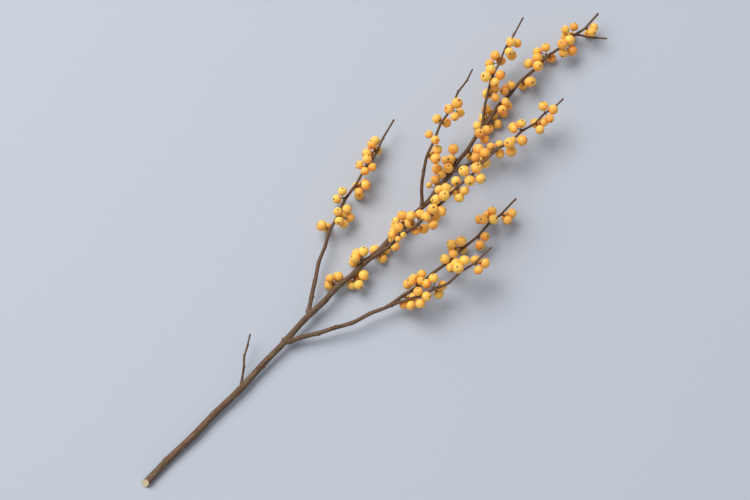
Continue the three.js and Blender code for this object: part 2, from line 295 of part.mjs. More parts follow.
// The fruit of one leaf axil. Two berries on opposite sides are one turned piece that bends at the axil,
// and the pieces are joined there.
function clusterGeometry({ hub, berries }) {
  const start = new THREE.Vector3(...hub);
  const direction = ([x, y, z]) =>
    new THREE.Vector3(x, y, z).sub(start).normalize();
  const left = [...berries];
  const pieces = [];
  while (left.length) {
    const a = left.shift();
    const from = direction(a);
    const angles = left.map((b) => from.angleTo(direction(b)));
    const widest = angles.indexOf(Math.max(...angles));
    const out = new THREE.Quaternion().setFromUnitVectors(Y_AXIS, from);
    if (left.length && angles[widest] > PAIR_ANGLE) {
      const b = left.splice(widest, 1)[0];
      const flip = new THREE.Quaternion().setFromUnitVectors(
        Y_AXIS,
        from.clone().negate(),
      );
      const onward = new THREE.Quaternion()
        .setFromUnitVectors(from.clone().negate(), direction(b))
        .multiply(flip);
      pieces.push(
        turnedAlong(
          [
            ...berryRows(start, a, out)
              .reverse()
              .map((row) => ({ ...row, turn: flip })),
            {
              centre: start,
              r: CUSHION_DIAMETER / 2,
              turn: flip.clone().slerp(onward, 0.5),
            },
            ...berryRows(start, b, onward),
          ],
          BERRY_SIDES,
        ),
      );
    } else {
      pieces.push(
        turnedAlong(
          [
            {
              centre: start.clone().addScaledVector(from, -CUSHION_HEIGHT / 2),
              r: 0,
              turn: out,
            },
            { centre: start, r: CUSHION_DIAMETER / 2, turn: out },
            ...berryRows(start, a, out),
          ],
          BERRY_SIDES,
        ),
      );
    }
  }
  return joined(pieces);
}

const branch = new THREE.Group();
branch.name = "winterberry_branch";

// All the wood grew as one piece.
const wood = new THREE.Mesh(
  joined(TWIGS.map((twig, i) => twigGeometry(twig, i === 0))),
  new THREE.MeshStandardMaterial(BARK),
);
wood.name = "woody_branch";
branch.add(wood);

const fruit = new THREE.Group();
fruit.name = "fruit";
CLUSTERS.forEach((entry, i) => {
  const mesh = new THREE.Mesh(
    clusterGeometry(entry),
    new THREE.MeshStandardMaterial(BERRY),
  );
  mesh.name = "berry_cluster_" + String(i + 1).padStart(2, "0");
  fruit.add(mesh);
});
branch.add(fruit);

export default branch;
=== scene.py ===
# A cut branch of golden-berried winterberry, lying on a pale surface.
import math

import bmesh
import bpy
import numpy as np
from mathutils import Matrix, Vector, noise
from mathutils.kdtree import KDTree


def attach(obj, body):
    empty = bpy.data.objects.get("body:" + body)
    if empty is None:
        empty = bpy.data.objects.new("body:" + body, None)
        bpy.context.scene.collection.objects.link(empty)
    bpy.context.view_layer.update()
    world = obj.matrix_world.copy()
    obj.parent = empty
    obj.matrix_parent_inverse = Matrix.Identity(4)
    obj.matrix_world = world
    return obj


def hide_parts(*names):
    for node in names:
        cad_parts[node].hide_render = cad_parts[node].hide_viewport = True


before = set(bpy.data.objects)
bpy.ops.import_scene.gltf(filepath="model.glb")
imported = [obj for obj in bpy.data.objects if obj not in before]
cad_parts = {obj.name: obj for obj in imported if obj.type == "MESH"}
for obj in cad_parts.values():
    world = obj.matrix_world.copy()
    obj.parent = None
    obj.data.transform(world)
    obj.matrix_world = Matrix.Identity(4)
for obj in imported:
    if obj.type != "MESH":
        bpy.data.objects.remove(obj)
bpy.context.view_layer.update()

MM = 0.001

# Each twig from its foot to its tip: rows of x, y, z and radius in millimetres, then the rows where a leaf
# stood, with the direction that it faced. The first twig is the leader. right_outer forks from right_low,
# and the rest from the leader.
TWIGS = [
    ("leader", [
        (-30.45, -308.27, 3.4, 3.4), (-29.75, -294.29, 3.59, 3.36), (-29.03, -280.3, 3.78, 3.31),
        (-27.3, -263.94, 4.29, 3.26), (-25.56, -247.58, 4.81, 3.21), (-24.91, -234.15, 5.05, 3.17),
        (-24.21, -220.72, 5.29, 3.13), (-22.59, -205.18, 5.66, 3.08), (-21.1, -189.63, 6.08, 3.03),
        (-20.57, -174.74, 6.54, 2.98), (-20.3, -159.85, 7.05, 2.94), (-19.32, -144.25, 7.73, 2.89),
        (-18.23, -128.67, 8.44, 2.84), (-18.04, -115.33, 9.04, 2.79), (-17.77, -102, 9.72, 2.75),
        (-16.28, -88.7, 10.42, 2.7), (-14.7, -75.42, 11.06, 2.66), (-14.74, -67.64, 11.36, 2.63),
        (-14.68, -59.87, 11.61, 2.61), (-12.96, -50.64, 11.97, 2.58), (-11.12, -41.43, 12.27, 2.54),
        (-10.63, -33.43, 12.34, 2.52), (-10.2, -25.41, 12.37, 2.49), (-8.52, -16.98, 12.41, 2.46),
        (-6.95, -8.52, 12.43, 2.43), (-6.54, 0.87, 12.47, 2.4), (-6.24, 10.26, 12.52, 2.36),
        (-4.94, 18.99, 12.68, 2.33), (-3.7, 27.72, 12.85, 2.3), (-3.74, 35.57, 12.99, 2.27),
        (-3.86, 43.39, 13.12, 2.25), (-2.88, 51.6, 13.02, 2.22), (-2.07, 59.83, 12.9, 2.19),
        (-2.79, 67.43, 12.86, 2.16), (-3.68, 74.99, 12.82, 2.13), (-3.31, 82.98, 12.92, 2.1),
        (-3.08, 90.99, 13.01, 2.07), (-4.37, 98.91, 12.96, 2.04), (-5.78, 106.82, 12.9, 2.01),
        (-5.84, 114.27, 12.79, 1.98), (-5.82, 121.73, 12.7, 1.95), (-7.15, 130.74, 12.78, 1.92),
        (-8.54, 139.74, 12.89, 1.88), (-8.81, 148.96, 13.09, 1.85), (-9.05, 158.17, 13.27, 1.81),
        (-10.2, 166.53, 13.22, 1.78), (-11.19, 174.93, 13.12, 1.74), (-10.84, 183.62, 13.05, 1.71),
        (-10.26, 192.27, 12.96, 1.67), (-10.63, 200.88, 12.99, 1.63), (-10.87, 209.51, 13.02, 1.6),
        (-9.47, 218.16, 13.14, 1.56), (-7.96, 226.78, 13.25, 1.52), (-7.57, 236.18, 13.15, 1.47),
        (-6.9, 245.6, 13.04, 1.43), (-4.75, 253.91, 13.05, 1.39), (-2.4, 262.17, 13.08, 1.35),
        (-1.6, 269.84, 12.88, 1.31), (-0.84, 277.5, 12.8, 1.27), (2.68, 291.2, 13.61, 1.18),
        (3.13, 299.72, 14.51, 1.13), (3.55, 308.23, 15.4, 1.05),
    ], [(2, 2.67), (4, 5.18), (6, 1.5), (8, 4.15), (10, 0.17), (12, 2.89), (14, 5.19), (16, 1.63), (18, 4.13), (20, 0.15), (22, 2.42), (24, 4.75), (26, 0.73), (28, 3.47), (30, 6.03), (32, 2.13), (34, 4.43), (36, 0.69), (38, 3.15), (40, 5.49), (42, 1.62), (44, 4.26), (46, 0.26), (48, 2.92), (50, 5.65), (52, 2.06), (54, 4.39), (56, 0.77), (58, 3.38), (59, 5.67)]),
    ("right_low", [
        (-18.33, -130.56, 8.36, 2.2), (-13.74, -123.09, 8.71, 2.16), (-9.1, -115.61, 9.08, 2.12),
        (-4.46, -109.26, 9.56, 2.09), (0.28, -103.01, 10.17, 2.05), (4.83, -96, 10.87, 2.02),
        (9.24, -88.93, 11.56, 1.98), (14.22, -82.12, 12.23, 1.94), (18.81, -74.99, 12.72, 1.9),
        (22.22, -66.69, 12.86, 1.86), (25.44, -58.34, 12.91, 1.82), (29.74, -50.57, 13, 1.78),
        (33.87, -42.66, 13.06, 1.74), (36.06, -34.07, 13.18, 1.7), (37.96, -25.44, 13.27, 1.66),
        (40.69, -17.85, 13.27, 1.63), (43.22, -10.15, 13.24, 1.59), (44.41, -0.6, 13.16, 1.54),
        (45.46, 8.96, 13.09, 1.5), (47.75, 18.11, 13.03, 1.45), (49.95, 27.29, 12.94, 1.41),
        (50.73, 35.38, 12.83, 1.37), (51.41, 43.48, 12.74, 1.33), (53.12, 52.77, 12.77, 1.28),
        (54.77, 62.06, 12.92, 1.23), (55.18, 71.3, 13.15, 1.19), (55.53, 80.53, 13.53, 1.14),
        (58.41, 93.43, 14.71, 1.06), (58.98, 102.58, 15.13, 1.01), (59.55, 111.73, 15.5, 0.95),
    ], [(2, 3.51), (4, 6.15), (6, 2.32), (8, 4.86), (10, 0.87), (12, 3.62), (14, 0.02), (16, 2.74), (18, 5.07), (20, 1.23), (22, 3.73), (24, 6.23), (26, 2.63), (27, 5.2)]),
    ("right_outer", [
        (32.98, -44.69, 13.04, 1.45), (36.74, -38.42, 14.82, 1.41), (40.52, -32.15, 16.6, 1.38),
        (45.58, -25.12, 19.02, 1.33), (50.61, -18.19, 21.79, 1.29), (54.09, -12.11, 23.94, 1.25),
        (57.27, -5.89, 26.04, 1.21), (61.24, 0.38, 28.19, 1.17), (64.61, 7.15, 30.09, 1.13),
        (66.05, 14.41, 31.84, 1.09), (67.19, 21.72, 33.49, 1.05), (69.62, 28.4, 34.97, 1.01),
        (71.88, 35.16, 36.36, 0.97), (73.24, 44.45, 38.19, 0.92), (74.55, 53.73, 40, 0.85),
    ], [(2, 4.73), (4, 1.13), (6, 3.84), (8, 0.01), (10, 2.72), (12, 5.22)]),
    ("left_low", [
        (-17.31, -97.01, 9.99, 2.05), (-21.85, -89.04, 10.55, 2), (-26.46, -81.15, 11.11, 1.96),
        (-30.01, -74.57, 11.49, 1.92), (-33.36, -67.89, 11.81, 1.88), (-37.94, -60, 12.38, 1.84),
        (-42.37, -52.01, 12.9, 1.79), (-45.34, -44.07, 12.99, 1.74), (-48.06, -36.06, 13.01, 1.7),
        (-51.6, -28.83, 13.04, 1.66), (-54.88, -21.47, 13.01, 1.62), (-56.43, -13.8, 13.14, 1.57),
        (-57.78, -6.12, 13.25, 1.53), (-60.52, 2.02, 13.15, 1.49), (-63.09, 10.24, 13.07, 1.44),
        (-64.12, 19.08, 13.06, 1.39), (-64.82, 27.93, 12.99, 1.34), (-66.72, 37.24, 12.83, 1.29),
        (-68.65, 46.56, 12.81, 1.23), (-69.33, 55.79, 13.27, 1.18), (-70.22, 64.98, 14.03, 1.13),
        (-74.36, 78.69, 14.83, 1.04), (-75.93, 88.2, 15.94, 0.97), (-77.45, 97.73, 17, 0.9),
    ], [(2, 0.18), (4, 2.66), (6, 5.05), (8, 1.5), (10, 4.19), (12, 0.55), (14, 2.94), (16, 5.22), (18, 1.48), (20, 3.85), (21, 0.16)]),
    ("crown", [
        (-10.44, -28.43, 12.36, 1.85), (-7.75, -21.71, 16.78, 1.8), (-5.07, -15.01, 21.22, 1.76),
        (-2.48, -9.01, 25.3, 1.72), (0.01, -2.83, 29.19, 1.68), (1.87, 4.29, 33.21, 1.63),
        (3.68, 11.48, 37.08, 1.59), (6.73, 19.04, 40.99, 1.54), (9.58, 26.89, 44.52, 1.49),
        (10.66, 34.78, 47.43, 1.44), (11.52, 42.78, 50.03, 1.39), (13.67, 50.99, 52.66, 1.34),
        (15.73, 59.26, 55.1, 1.29), (16.35, 67.24, 57.08, 1.24), (16.91, 75.29, 58.82, 1.19),
        (18.86, 83.4, 60.47, 1.14), (20.73, 91.54, 62.05, 1.09), (21.02, 98.96, 63.64, 1.04),
        (21.22, 106.36, 65.3, 1), (22.88, 116.04, 67.16, 0.93), (24.55, 125.73, 69, 0.85),
    ], [(2, 3.2), (4, 5.59), (6, 1.68), (8, 4.36), (10, 0.5), (12, 2.82), (14, 5.15), (16, 1.59), (18, 4.03)]),
    ("left_rise", [
        (-2.88, 51.6, 13.02, 1.7), (-7.48, 56.66, 17.1, 1.65), (-12.14, 61.61, 21.24, 1.61),
        (-16.78, 67.69, 25.64, 1.55), (-20.73, 74.55, 29.48, 1.5), (-24.33, 80.83, 32.42, 1.45),
        (-27.57, 87.46, 35.05, 1.41), (-29.5, 94.74, 37.21, 1.36), (-31.17, 102.1, 39.17, 1.31),
        (-33.94, 110.1, 41.55, 1.26), (-36.31, 118.37, 43.56, 1.2), (-36.98, 125.96, 44.78, 1.15),
        (-37.63, 133.55, 45.91, 1.1), (-40.02, 142.16, 47.52, 1.04), (-42.44, 150.77, 49.03, 0.98),
        (-43.38, 164.18, 50.66, 0.88), (-45.45, 173.73, 52, 0.8),
    ], [(2, 1.14), (4, 3.8), (6, 6.11), (8, 2.09), (10, 4.47), (12, 0.55), (14, 2.98), (15, 5.4)]),
    ("right_high", [
        (-4, 96.94, 12.98, 1.55), (-0.49, 103.12, 14.75, 1.51), (3.07, 109.27, 16.54, 1.47),
        (6.76, 115.26, 18.16, 1.44), (10.09, 121.53, 19.65, 1.4), (12.74, 128.58, 21.34, 1.36),
        (15.17, 135.71, 22.93, 1.32), (18.7, 143.37, 24.28, 1.27), (21.94, 151.24, 25.31, 1.23),
        (22.87, 158.39, 25.87, 1.19), (23.6, 165.53, 26.23, 1.15), (25.93, 172.76, 26.61, 1.11),
        (28.25, 180.01, 26.95, 1.07), (29.22, 192.37, 27.49, 0.99), (32.69, 205.65, 27.66, 0.91),
        (33.55, 213.73, 28, 0.85),
    ], [(2, 5.45), (4, 1.77), (6, 4.52), (8, 0.66), (10, 3.07), (12, 5.33), (13, 1.36), (14, 4.01)]),
    ("left_high", [
        (-8.81, 148.96, 13.09, 1.4), (-16.75, 159.99, 17.62, 1.33), (-20.92, 166.96, 20.16, 1.29),
        (-24.45, 174.36, 22.23, 1.25), (-28.22, 181.8, 24.08, 1.21), (-31.65, 189.48, 25.67, 1.16),
        (-33.59, 197.14, 26.87, 1.12), (-35.19, 204.88, 27.76, 1.08), (-38.02, 213.28, 28.24, 1.03),
        (-40.55, 221.78, 28.6, 0.99), (-42.19, 235.63, 29.8, 0.91), (-43.83, 243.68, 31.38, 0.86),
        (-45.45, 251.73, 33, 0.8),
    ], [(1, 2.68), (3, 5.38), (5, 1.37), (7, 4), (9, 0.02), (10, 2.49)]),
    ("red_twig", [
        (-0.07, 280.5, 12.98, 1.0), (5.2, 283.7, 12.5, 0.96), (10.2, 286.4, 12.0, 0.92),
        (15.4, 289.9, 12.3, 0.87), (19.7, 292.1, 13.2, 0.83), (23.8, 294.6, 14.3, 0.78),
    ], [(1, 3.7), (3, 0.35)]),
    ("low_spur", [
        (-20.99, -187.76, 6.14, 1.2), (-26.03, -179.56, 7.45, 1.13), (-30.82, -171.8, 9.37, 1.05),
        (-37.09, -163.26, 11.82, 0.97), (-41.22, -154.47, 12.8, 0.89), (-45.45, -146.27, 13.5, 0.8),
    ], [(1, 4.59), (2, 0.6), (3, 3.03), (4, 5.4)]),
]

CLUSTERS = [
    (0, (-17.92, -58.77, 10.11), (-0.9, 0.14, -0.41), [(-24.48, -56.68, 14.16, 4.07), (-22.12, -60.16, 5.35, 5.35), (-20.46, -49.92, 8.64, 5.19)]),
    (0, (-8.26, -41.16, 10.02), (0.77, -0.09, -0.63), [(-9.03, -37.57, 4.53, 4.53), (-2.69, -33.94, 11.34, 5.12), (-6.57, -46.94, 4.82, 4.82), (-0.14, -43.82, 11.68, 4.75)]),
    (0, (-13.6, -24.38, 12.85), (-0.98, 0.12, 0.13), [(-16.06, -18.16, 20.27, 4.76), (-21.76, -20.75, 5.2, 5.2), (-18.29, -27.91, 19.52, 4.93), (-17.98, -29.69, 9.39, 5.03)]),
    (0, (-6.42, -7.93, 9), (0.13, 0, -0.99), [(-11.38, -7.55, 5.15, 5.15), (-0.7, -8.87, 4.51, 4.51), (-4.35, 0.25, 4.99, 4.99)]),
    (0, (-3.68, 10.6, 14.8), (0.74, -0.07, 0.67), [(-6.5, 14.21, 22.57, 4.42), (2.6, 5.32, 15.17, 4.39), (-3.43, 7.51, 19.73, 3.14)]),
    (0, (-6.8, 28.56, 11.79), (-0.94, 0.07, -0.32), [(-11.02, 31.8, 19.66, 4.73), (-6.77, 31.78, 4.59, 4.59), (-12.91, 25.13, 13.78, 4.02), (-12.02, 23.6, 4.8, 4.8)]),
    (0, (1.11, 60.43, 13.25), (0.99, 0, 0.11), [(3.87, 64, 4.5, 4.5), (1.65, 62.26, 18.96, 2.88), (5.52, 55.49, 8.89, 4.87), (7.39, 56.71, 18.62, 4.77)]),
    (0, (-6.03, 75.53, 10.72), (-0.74, -0.02, -0.67), [(-12.02, 72.81, 10.91, 3), (-3.97, 78.41, 4.72, 4.72), (-10.63, 80.72, 11.51, 4.72)]),
    (0, (-5.94, 91.4, 14.2), (-0.92, -0.06, 0.39), [(-6.93, 94.04, 23.2, 4.81), (-8.31, 87.01, 17.79, 3.82), (-15.96, 89.42, 12.88, 5.22)]),
    (0, (-8.82, 107.14, 12.88), (-1, -0.09, -0.01), [(-15.62, 112.7, 20.35, 5.08), (-11.85, 107.49, 4.8, 4.8), (-11.49, 103.8, 18.92, 4.49), (-15.71, 101.78, 11.15, 4.24)]),
    (0, (-3.1, 122.51, 11.72), (0.94, 0.06, -0.33), [(-1.48, 122.12, 3.91, 3.91), (3.94, 123.95, 14.92, 4.37), (-0.03, 129.58, 8.56, 4.66)]),
    (0, (-6.44, 140.51, 14.77), (0.76, 0.06, 0.65), [(-0.21, 141.54, 12.95, 4.48), (-6.57, 140.13, 21.57, 4.57), (-4.09, 148.4, 17.87, 4.48)]),
    (0, (-9.9, 158.74, 10.62), (-0.29, -0.01, -0.96), [(-16.03, 159.71, 4.64, 4.64), (-2.08, 163.81, 4.55, 4.55), (-14.73, 149.8, 5.03, 5.03), (-5.31, 154.37, 5.1, 5.1), (-18.13, 166.15, 11.66, 4.77), (-10.89, 168.21, 4.96, 4.96)]),
    (0, (-8.6, 175.64, 13.81), (0.97, 0.04, 0.25), [(-4.73, 176.15, 4.68, 4.68), (-7.43, 181.14, 20.25, 4.2), (-4.89, 172.58, 21, 4.42), (-4.53, 182.14, 11.89, 4.37)]),
    (0, (-12.81, 192.91, 13.52), (-0.98, 0.01, 0.21), [(-14.54, 198.34, 17.87, 4.24), (-17.19, 196.2, 8.76, 4.08), (-15.48, 189.31, 19.48, 4.64)]),
    (0, (-8.41, 209.96, 12.27), (0.95, -0.06, -0.3), [(-7.94, 209.83, 4.5, 4.5), (-2.57, 211.93, 18.62, 5.02), (-3.16, 216.63, 9.54, 4.88)]),
    (0, (-9.05, 227.5, 15.41), (-0.47, 0.05, 0.88), [(-6.3, 228.47, 22.02, 5.1), (-15.77, 226.72, 16.21, 4.91), (-12.62, 235.84, 18.89, 4.76)]),
    (0, (-8.64, 246.46, 11.58), (-0.78, 0.11, -0.62), [(-13.32, 250.17, 16.68, 4.51), (-4.26, 249.35, 4.77, 4.77), (-17.34, 243.12, 11.9, 4.57), (-11.14, 242.41, 4.66, 4.66)]),
    (0, (-0.69, 262.47, 14.64), (0.71, -0.13, 0.69), [(7.49, 265.24, 12.81, 5.28), (0.35, 269.81, 19.44, 5.15), (3.24, 256.66, 16.02, 4.48), (-1.82, 260.36, 23.73, 5.12)]),
    (0, (-2.81, 278.48, 12.31), (-0.96, 0.18, -0.23), [(-5.33, 283.7, 18.21, 4.29), (-4.06, 280.12, 4.07, 4.07), (-10.3, 276.61, 16.34, 4.22), (-7.22, 273.74, 8.76, 4.11)]),
    (0, (4.74, 291.6, 13.06), (0.95, -0.09, -0.29), [(7.46, 292.77, 4.49, 4.49), (11, 290.89, 17.73, 4.66), (8.58, 297.97, 12.04, 4.4)]),
    (1, (40.63, -25.59, 13.32), (0.96, -0.28, 0.02), [(44.45, -23.25, 4.9, 4.9), (46.44, -20.88, 14.08, 4.45), (43.6, -31.08, 10.61, 4.49), (50.18, -28.95, 16.93, 4.53)]),
    (1, (41.08, -9.05, 14.21), (-0.9, 0.2, 0.39), [(42.65, -5.76, 19.4, 4.27), (34.8, -5.61, 9.78, 4.55), (36.5, -12.24, 22.02, 4.69), (34.35, -14.63, 12.88, 4.66), (38.51, 1.03, 15.14, 4.41)]),
    (1, (50.82, 27.78, 15.12), (0.33, -0.04, 0.94), [(49.46, 33.56, 20.17, 4.43), (56.07, 22.32, 19.57, 4.87), (46.39, 24.53, 20.79, 4.79)]),
    (1, (49.36, 44.35, 12.1), (-0.95, 0.12, -0.29), [(46.93, 48.36, 18.49, 5.03), (50.85, 46.53, 4.43, 4.43), (41.35, 41, 14.16, 4.83), (43.75, 40.34, 4.65, 4.65)]),
    (1, (56.95, 62.43, 12.82), (0.99, -0.11, -0.06), [(61.3, 65.84, 18.53, 4.54), (61.37, 59.46, 4.98, 4.98), (62.01, 57.06, 15.74, 4.37)]),
    (1, (53.86, 81.29, 14.56), (-0.87, 0.08, 0.49), [(56.88, 83.07, 21.51, 4.65), (48.53, 85.98, 9.76, 4.46), (50.05, 76.65, 20.89, 4.4), (45.97, 77.22, 12.4, 4.7), (50.54, 89.35, 18.21, 4.52)]),
    (1, (60.21, 94, 13.84), (0.88, -0.01, -0.47), [(62.7, 97.02, 4.69, 4.69), (67.07, 92.18, 16.38, 4.36), (65.42, 100.87, 13.21, 4.7)]),
    (2, (51.38, -18.72, 23.86), (0.21, -0.46, 0.86), [(56.67, -23.59, 24.46, 4.66), (48.16, -16.78, 29.08, 4.43), (57.43, -15.68, 29.85, 4.59)]),
    (2, (56.34, -4.25, 24.91), (-0.58, 0.54, -0.61), [(51.72, 1.32, 32.15, 4.63), (62.53, -3.83, 16.44, 4.87), (49.28, -5.59, 25.88, 4.67), (61.19, 3.33, 22.82, 4.48)]),
    (2, (65.59, 22.57, 34.4), (-0.9, 0.14, 0.4), [(64.23, 21.24, 41.1, 5.11), (58.88, 25.44, 30.5, 5.19), (63.57, 31.25, 37.99, 5.05)]),
    (2, (72.96, 35.83, 34.9), (0.51, 0.05, -0.86), [(69.91, 39.85, 28.85, 4.75), (78.61, 33.14, 34.47, 4.43), (78.81, 42.64, 32.52, 4.94)]),
    (3, (-57.26, -21.57, 11.87), (-0.86, -0.26, -0.45), [(-63.43, -23, 13.6, 5.21), (-60.13, -19.39, 4.48, 4.48)]),
    (3, (-55.89, -5.02, 14.54), (0.83, 0.21, 0.52), [(-48.91, 0.82, 9.82, 4.5), (-58.7, -4.83, 23.07, 4.2), (-48.91, -7.97, 12.4, 4.31), (-52.49, -10.36, 20.19, 4.25), (-55.2, 4.11, 15.77, 4.42), (-53.87, -2.95, 17.94, 2.75)]),
    (3, (-65.48, 10.35, 13.54), (-0.96, -0.2, 0.2), [(-69.05, 13.69, 19.38, 4.29), (-68.75, 5.08, 17.71, 4.14), (-69.9, 6.97, 8.92, 4.3)]),
    (3, (-62.91, 28.75, 11.95), (0.88, 0.1, -0.46), [(-65.14, 29.8, 4.27, 4.27), (-56.32, 33.28, 17.12, 4.73), (-57.59, 24.61, 4.56, 4.56), (-57.58, 24.85, 13.6, 4.15), (-60.21, 36, 8.8, 4.51)]),
    (3, (-68.53, 47.14, 14.95), (0.1, -0.01, 1), [(-63.12, 50.56, 17.68, 4.11), (-71.26, 52.67, 20.56, 4.44), (-65.43, 42.46, 19.72, 4.23), (-73.79, 44.48, 17.71, 4.26)]),
    (3, (-72.24, 65.3, 13.45), (-0.94, -0.13, -0.31), [(-77.54, 66.99, 19.4, 4.56), (-71.81, 68.58, 8.46, 4.2), (-76.41, 58.44, 14.65, 4.95), (-75.01, 60.54, 4.84, 4.84), (-78.97, 73.33, 12.17, 4.83)]),
    (4, (3.24, 11, 39.59), (-0.24, -0.39, 0.89), [(6.02, 12.28, 44.23, 2.8), (-2.03, 14.94, 44.84, 4.89), (4.9, 6.37, 43.14, 2.98), (-2.6, 6.5, 40.76, 4.16)]),
    (4, (9.09, 28.44, 42.63), (-0.26, 0.42, -0.87), [(-0.2, 30.62, 45.05, 4.82), (15.13, 31.47, 33.52, 4.75), (1.96, 26.52, 36.25, 4.79), (10.91, 24.17, 37.4, 4.2), (5, 38.18, 41.01, 4.87)]),
    (4, (13.55, 42.65, 51.27), (0.84, -0.3, 0.46), [(18.47, 44.59, 46.43, 4.49), (13.94, 44.56, 61.63, 4.95), (21.41, 36.08, 50.55, 5.07), (13.04, 36.13, 56.29, 4.74), (19.94, 49.5, 54.85, 5.03)]),
    (4, (13.74, 59.99, 55.93), (-0.95, 0.07, 0.31), [(14.32, 60.15, 65.72, 5.01), (5.22, 64.63, 52.79, 4.39), (9.87, 54.27, 59.33, 4.41), (10.27, 68.14, 60.42, 5.06)]),
    (4, (17.94, 76.11, 57.09), (0.45, 0.12, -0.89), [(11.89, 81.23, 52.55, 4.81), (24.72, 77.37, 59.69, 4.2), (16.99, 74.42, 48.15, 4.42), (24.13, 70.6, 53.26, 4.82)]),
    (4, (20.73, 91.75, 64.1), (-0.04, -0.19, 0.98), [(29.9, 93.5, 67.75, 5.02), (23.74, 85.16, 68.51, 5.04), (14.06, 88.5, 70.7, 5.09), (21, 97.81, 71.51, 5.22)]),
    (4, (20.14, 107.35, 64), (-0.61, 0.22, -0.76), [(13.25, 106.72, 65.25, 4.54), (21.31, 111.16, 55.74, 5.35), (17.05, 115.64, 64.28, 4.86)]),
    (5, (-25.67, 88.91, 34.84), (0.9, 0.39, -0.17), [(-24.48, 92.6, 29.28, 4.68), (-18.75, 89.18, 40.14, 5.14), (-23.59, 97.67, 37.47, 4.66)]),
    (5, (-32.24, 101.87, 41.19), (-0.41, -0.35, 0.84), [(-29.28, 101.24, 47, 4.21), (-37.98, 102.54, 43.98, 3.96)]),
    (5, (-36.98, 119.25, 41.68), (-0.27, 0.14, -0.95), [(-42.56, 120.3, 39.53, 4.63), (-34.14, 123.9, 36.7, 4.62)]),
    (5, (-36.05, 134.26, 47.04), (0.85, 0.07, 0.52), [(-29.55, 138.23, 41.86, 4.44), (-38.06, 131.18, 52.19, 4.6), (-29.26, 129.35, 50.7, 4.18), (-34.62, 139, 57.92, 5.35)]),
    (6, (9.72, 121.81, 22), (-0.26, -0.11, 0.96), [(13.14, 121.68, 28.08, 5.02), (3.59, 126.1, 26.09, 5.35)]),
    (6, (15.15, 136.79, 20.89), (-0.11, 0.24, -0.97), [(9.61, 138.07, 17.34, 4.1), (20.47, 138.91, 15.09, 4.49), (14.98, 144.41, 19.67, 4.19)]),
    (6, (23.69, 151.27, 26.66), (0.75, -0.26, 0.61), [(23.3, 153.76, 30.25, 2.63), (28.63, 144.35, 25.61, 5.19), (23.64, 146.92, 34.86, 5.3), (30.19, 158.05, 30.03, 5.15)]),
    (6, (21.73, 166.52, 26.41), (-0.98, 0.2, 0.07), [(19.74, 169.63, 32.83, 4.41), (17.01, 162.26, 28.65, 4.15), (14.33, 165.85, 20.22, 5.06)]),
    (6, (29.48, 180.46, 25.4), (0.58, -0.07, -0.81), [(27.32, 183.09, 18.28, 4.54), (35.63, 178.61, 25.08, 4.41), (33.58, 187.36, 23.57, 4.36)]),
    (6, (29.7, 192.85, 29.32), (0.2, -0.06, 0.98), [(36.89, 190.76, 31.97, 4.4), (24.98, 195.77, 34.97, 4.82), (33.91, 199.68, 33.17, 4.75)]),
    (7, (-23.68, 175.81, 20.73), (0.48, 0.44, -0.76), [(-27.17, 178.23, 13.65, 4.95), (-17.38, 178.29, 20.75, 4.31), (-24, 184.85, 20.39, 4.68)]),
    (7, (-31.35, 189.85, 27.76), (0.24, -0.09, 0.97), [(-26.44, 195.36, 30.65, 4.85), (-36.83, 193.68, 31.74, 4.87), (-25.25, 185.58, 32.27, 4.8), (-35.07, 183.97, 34.94, 5.17)]),
    (7, (-36.62, 205.24, 26.33), (-0.65, -0.11, -0.75), [(-43.13, 208.64, 27.87, 4.73), (-36.86, 210.3, 20.64, 4.65), (-42.67, 200.07, 23.79, 4.44)]),
    (7, (-38.85, 222.74, 28.68), (0.98, 0.2, 0.02), [(-38.62, 225.91, 36.81, 4.82), (-31.97, 220.11, 24.08, 4.97), (-34.21, 218.19, 33.32, 4.39), (-34.51, 231.11, 29.77, 4.52)]),
]

NODE_SWELLING = 0.12  # a twig is this much thicker where a leaf stood
YEAR_RINGS = 0.5  # spacing of the three fine rings where a season's growth began
CUT_SLANT = 0.95  # slope of the cut through the foot of the stem
BUD_LENGTH = 3.0  # the bud at the end of each twig
BUD_PROFILE = [(0, 1), (0.45, 1.06), (1.0, 1.13), (1.6, 1.05), (2.1, 0.82), (2.5, 0.52), (2.8, 0.26), (2.88, 0.2)]
TWIG_SIDES = [30, 24, 20, 24, 22, 22, 20, 20, 18, 18]
PARENT = [None, 0, 1, 0, 0, 0, 0, 0, 0, 0]
RED_TWIG = 8
BERRY_SIDES = 34
STALK_SIDES = 10
UP = np.array([0.0, 0.0, 1.0])


def unit(v):
    return v / np.linalg.norm(v, axis=-1, keepdims=True)


def smooth(x):
    x = np.clip(x, 0, 1)
    return x * x * (3 - 2 * x)


def chance(*keys):
    """A random source of its own for each thing."""
    return np.random.default_rng([4075, *keys])


def lumps(points, seed):
    """Smooth noise from -1 to 1 at each point."""
    at = Vector((seed * 17.31, seed * 5.17, -seed * 9.73))
    return np.array([noise.noise(Vector(p) + at) for p in np.asarray(points, float)])


# ---------------------------------------------------------------- closed shells


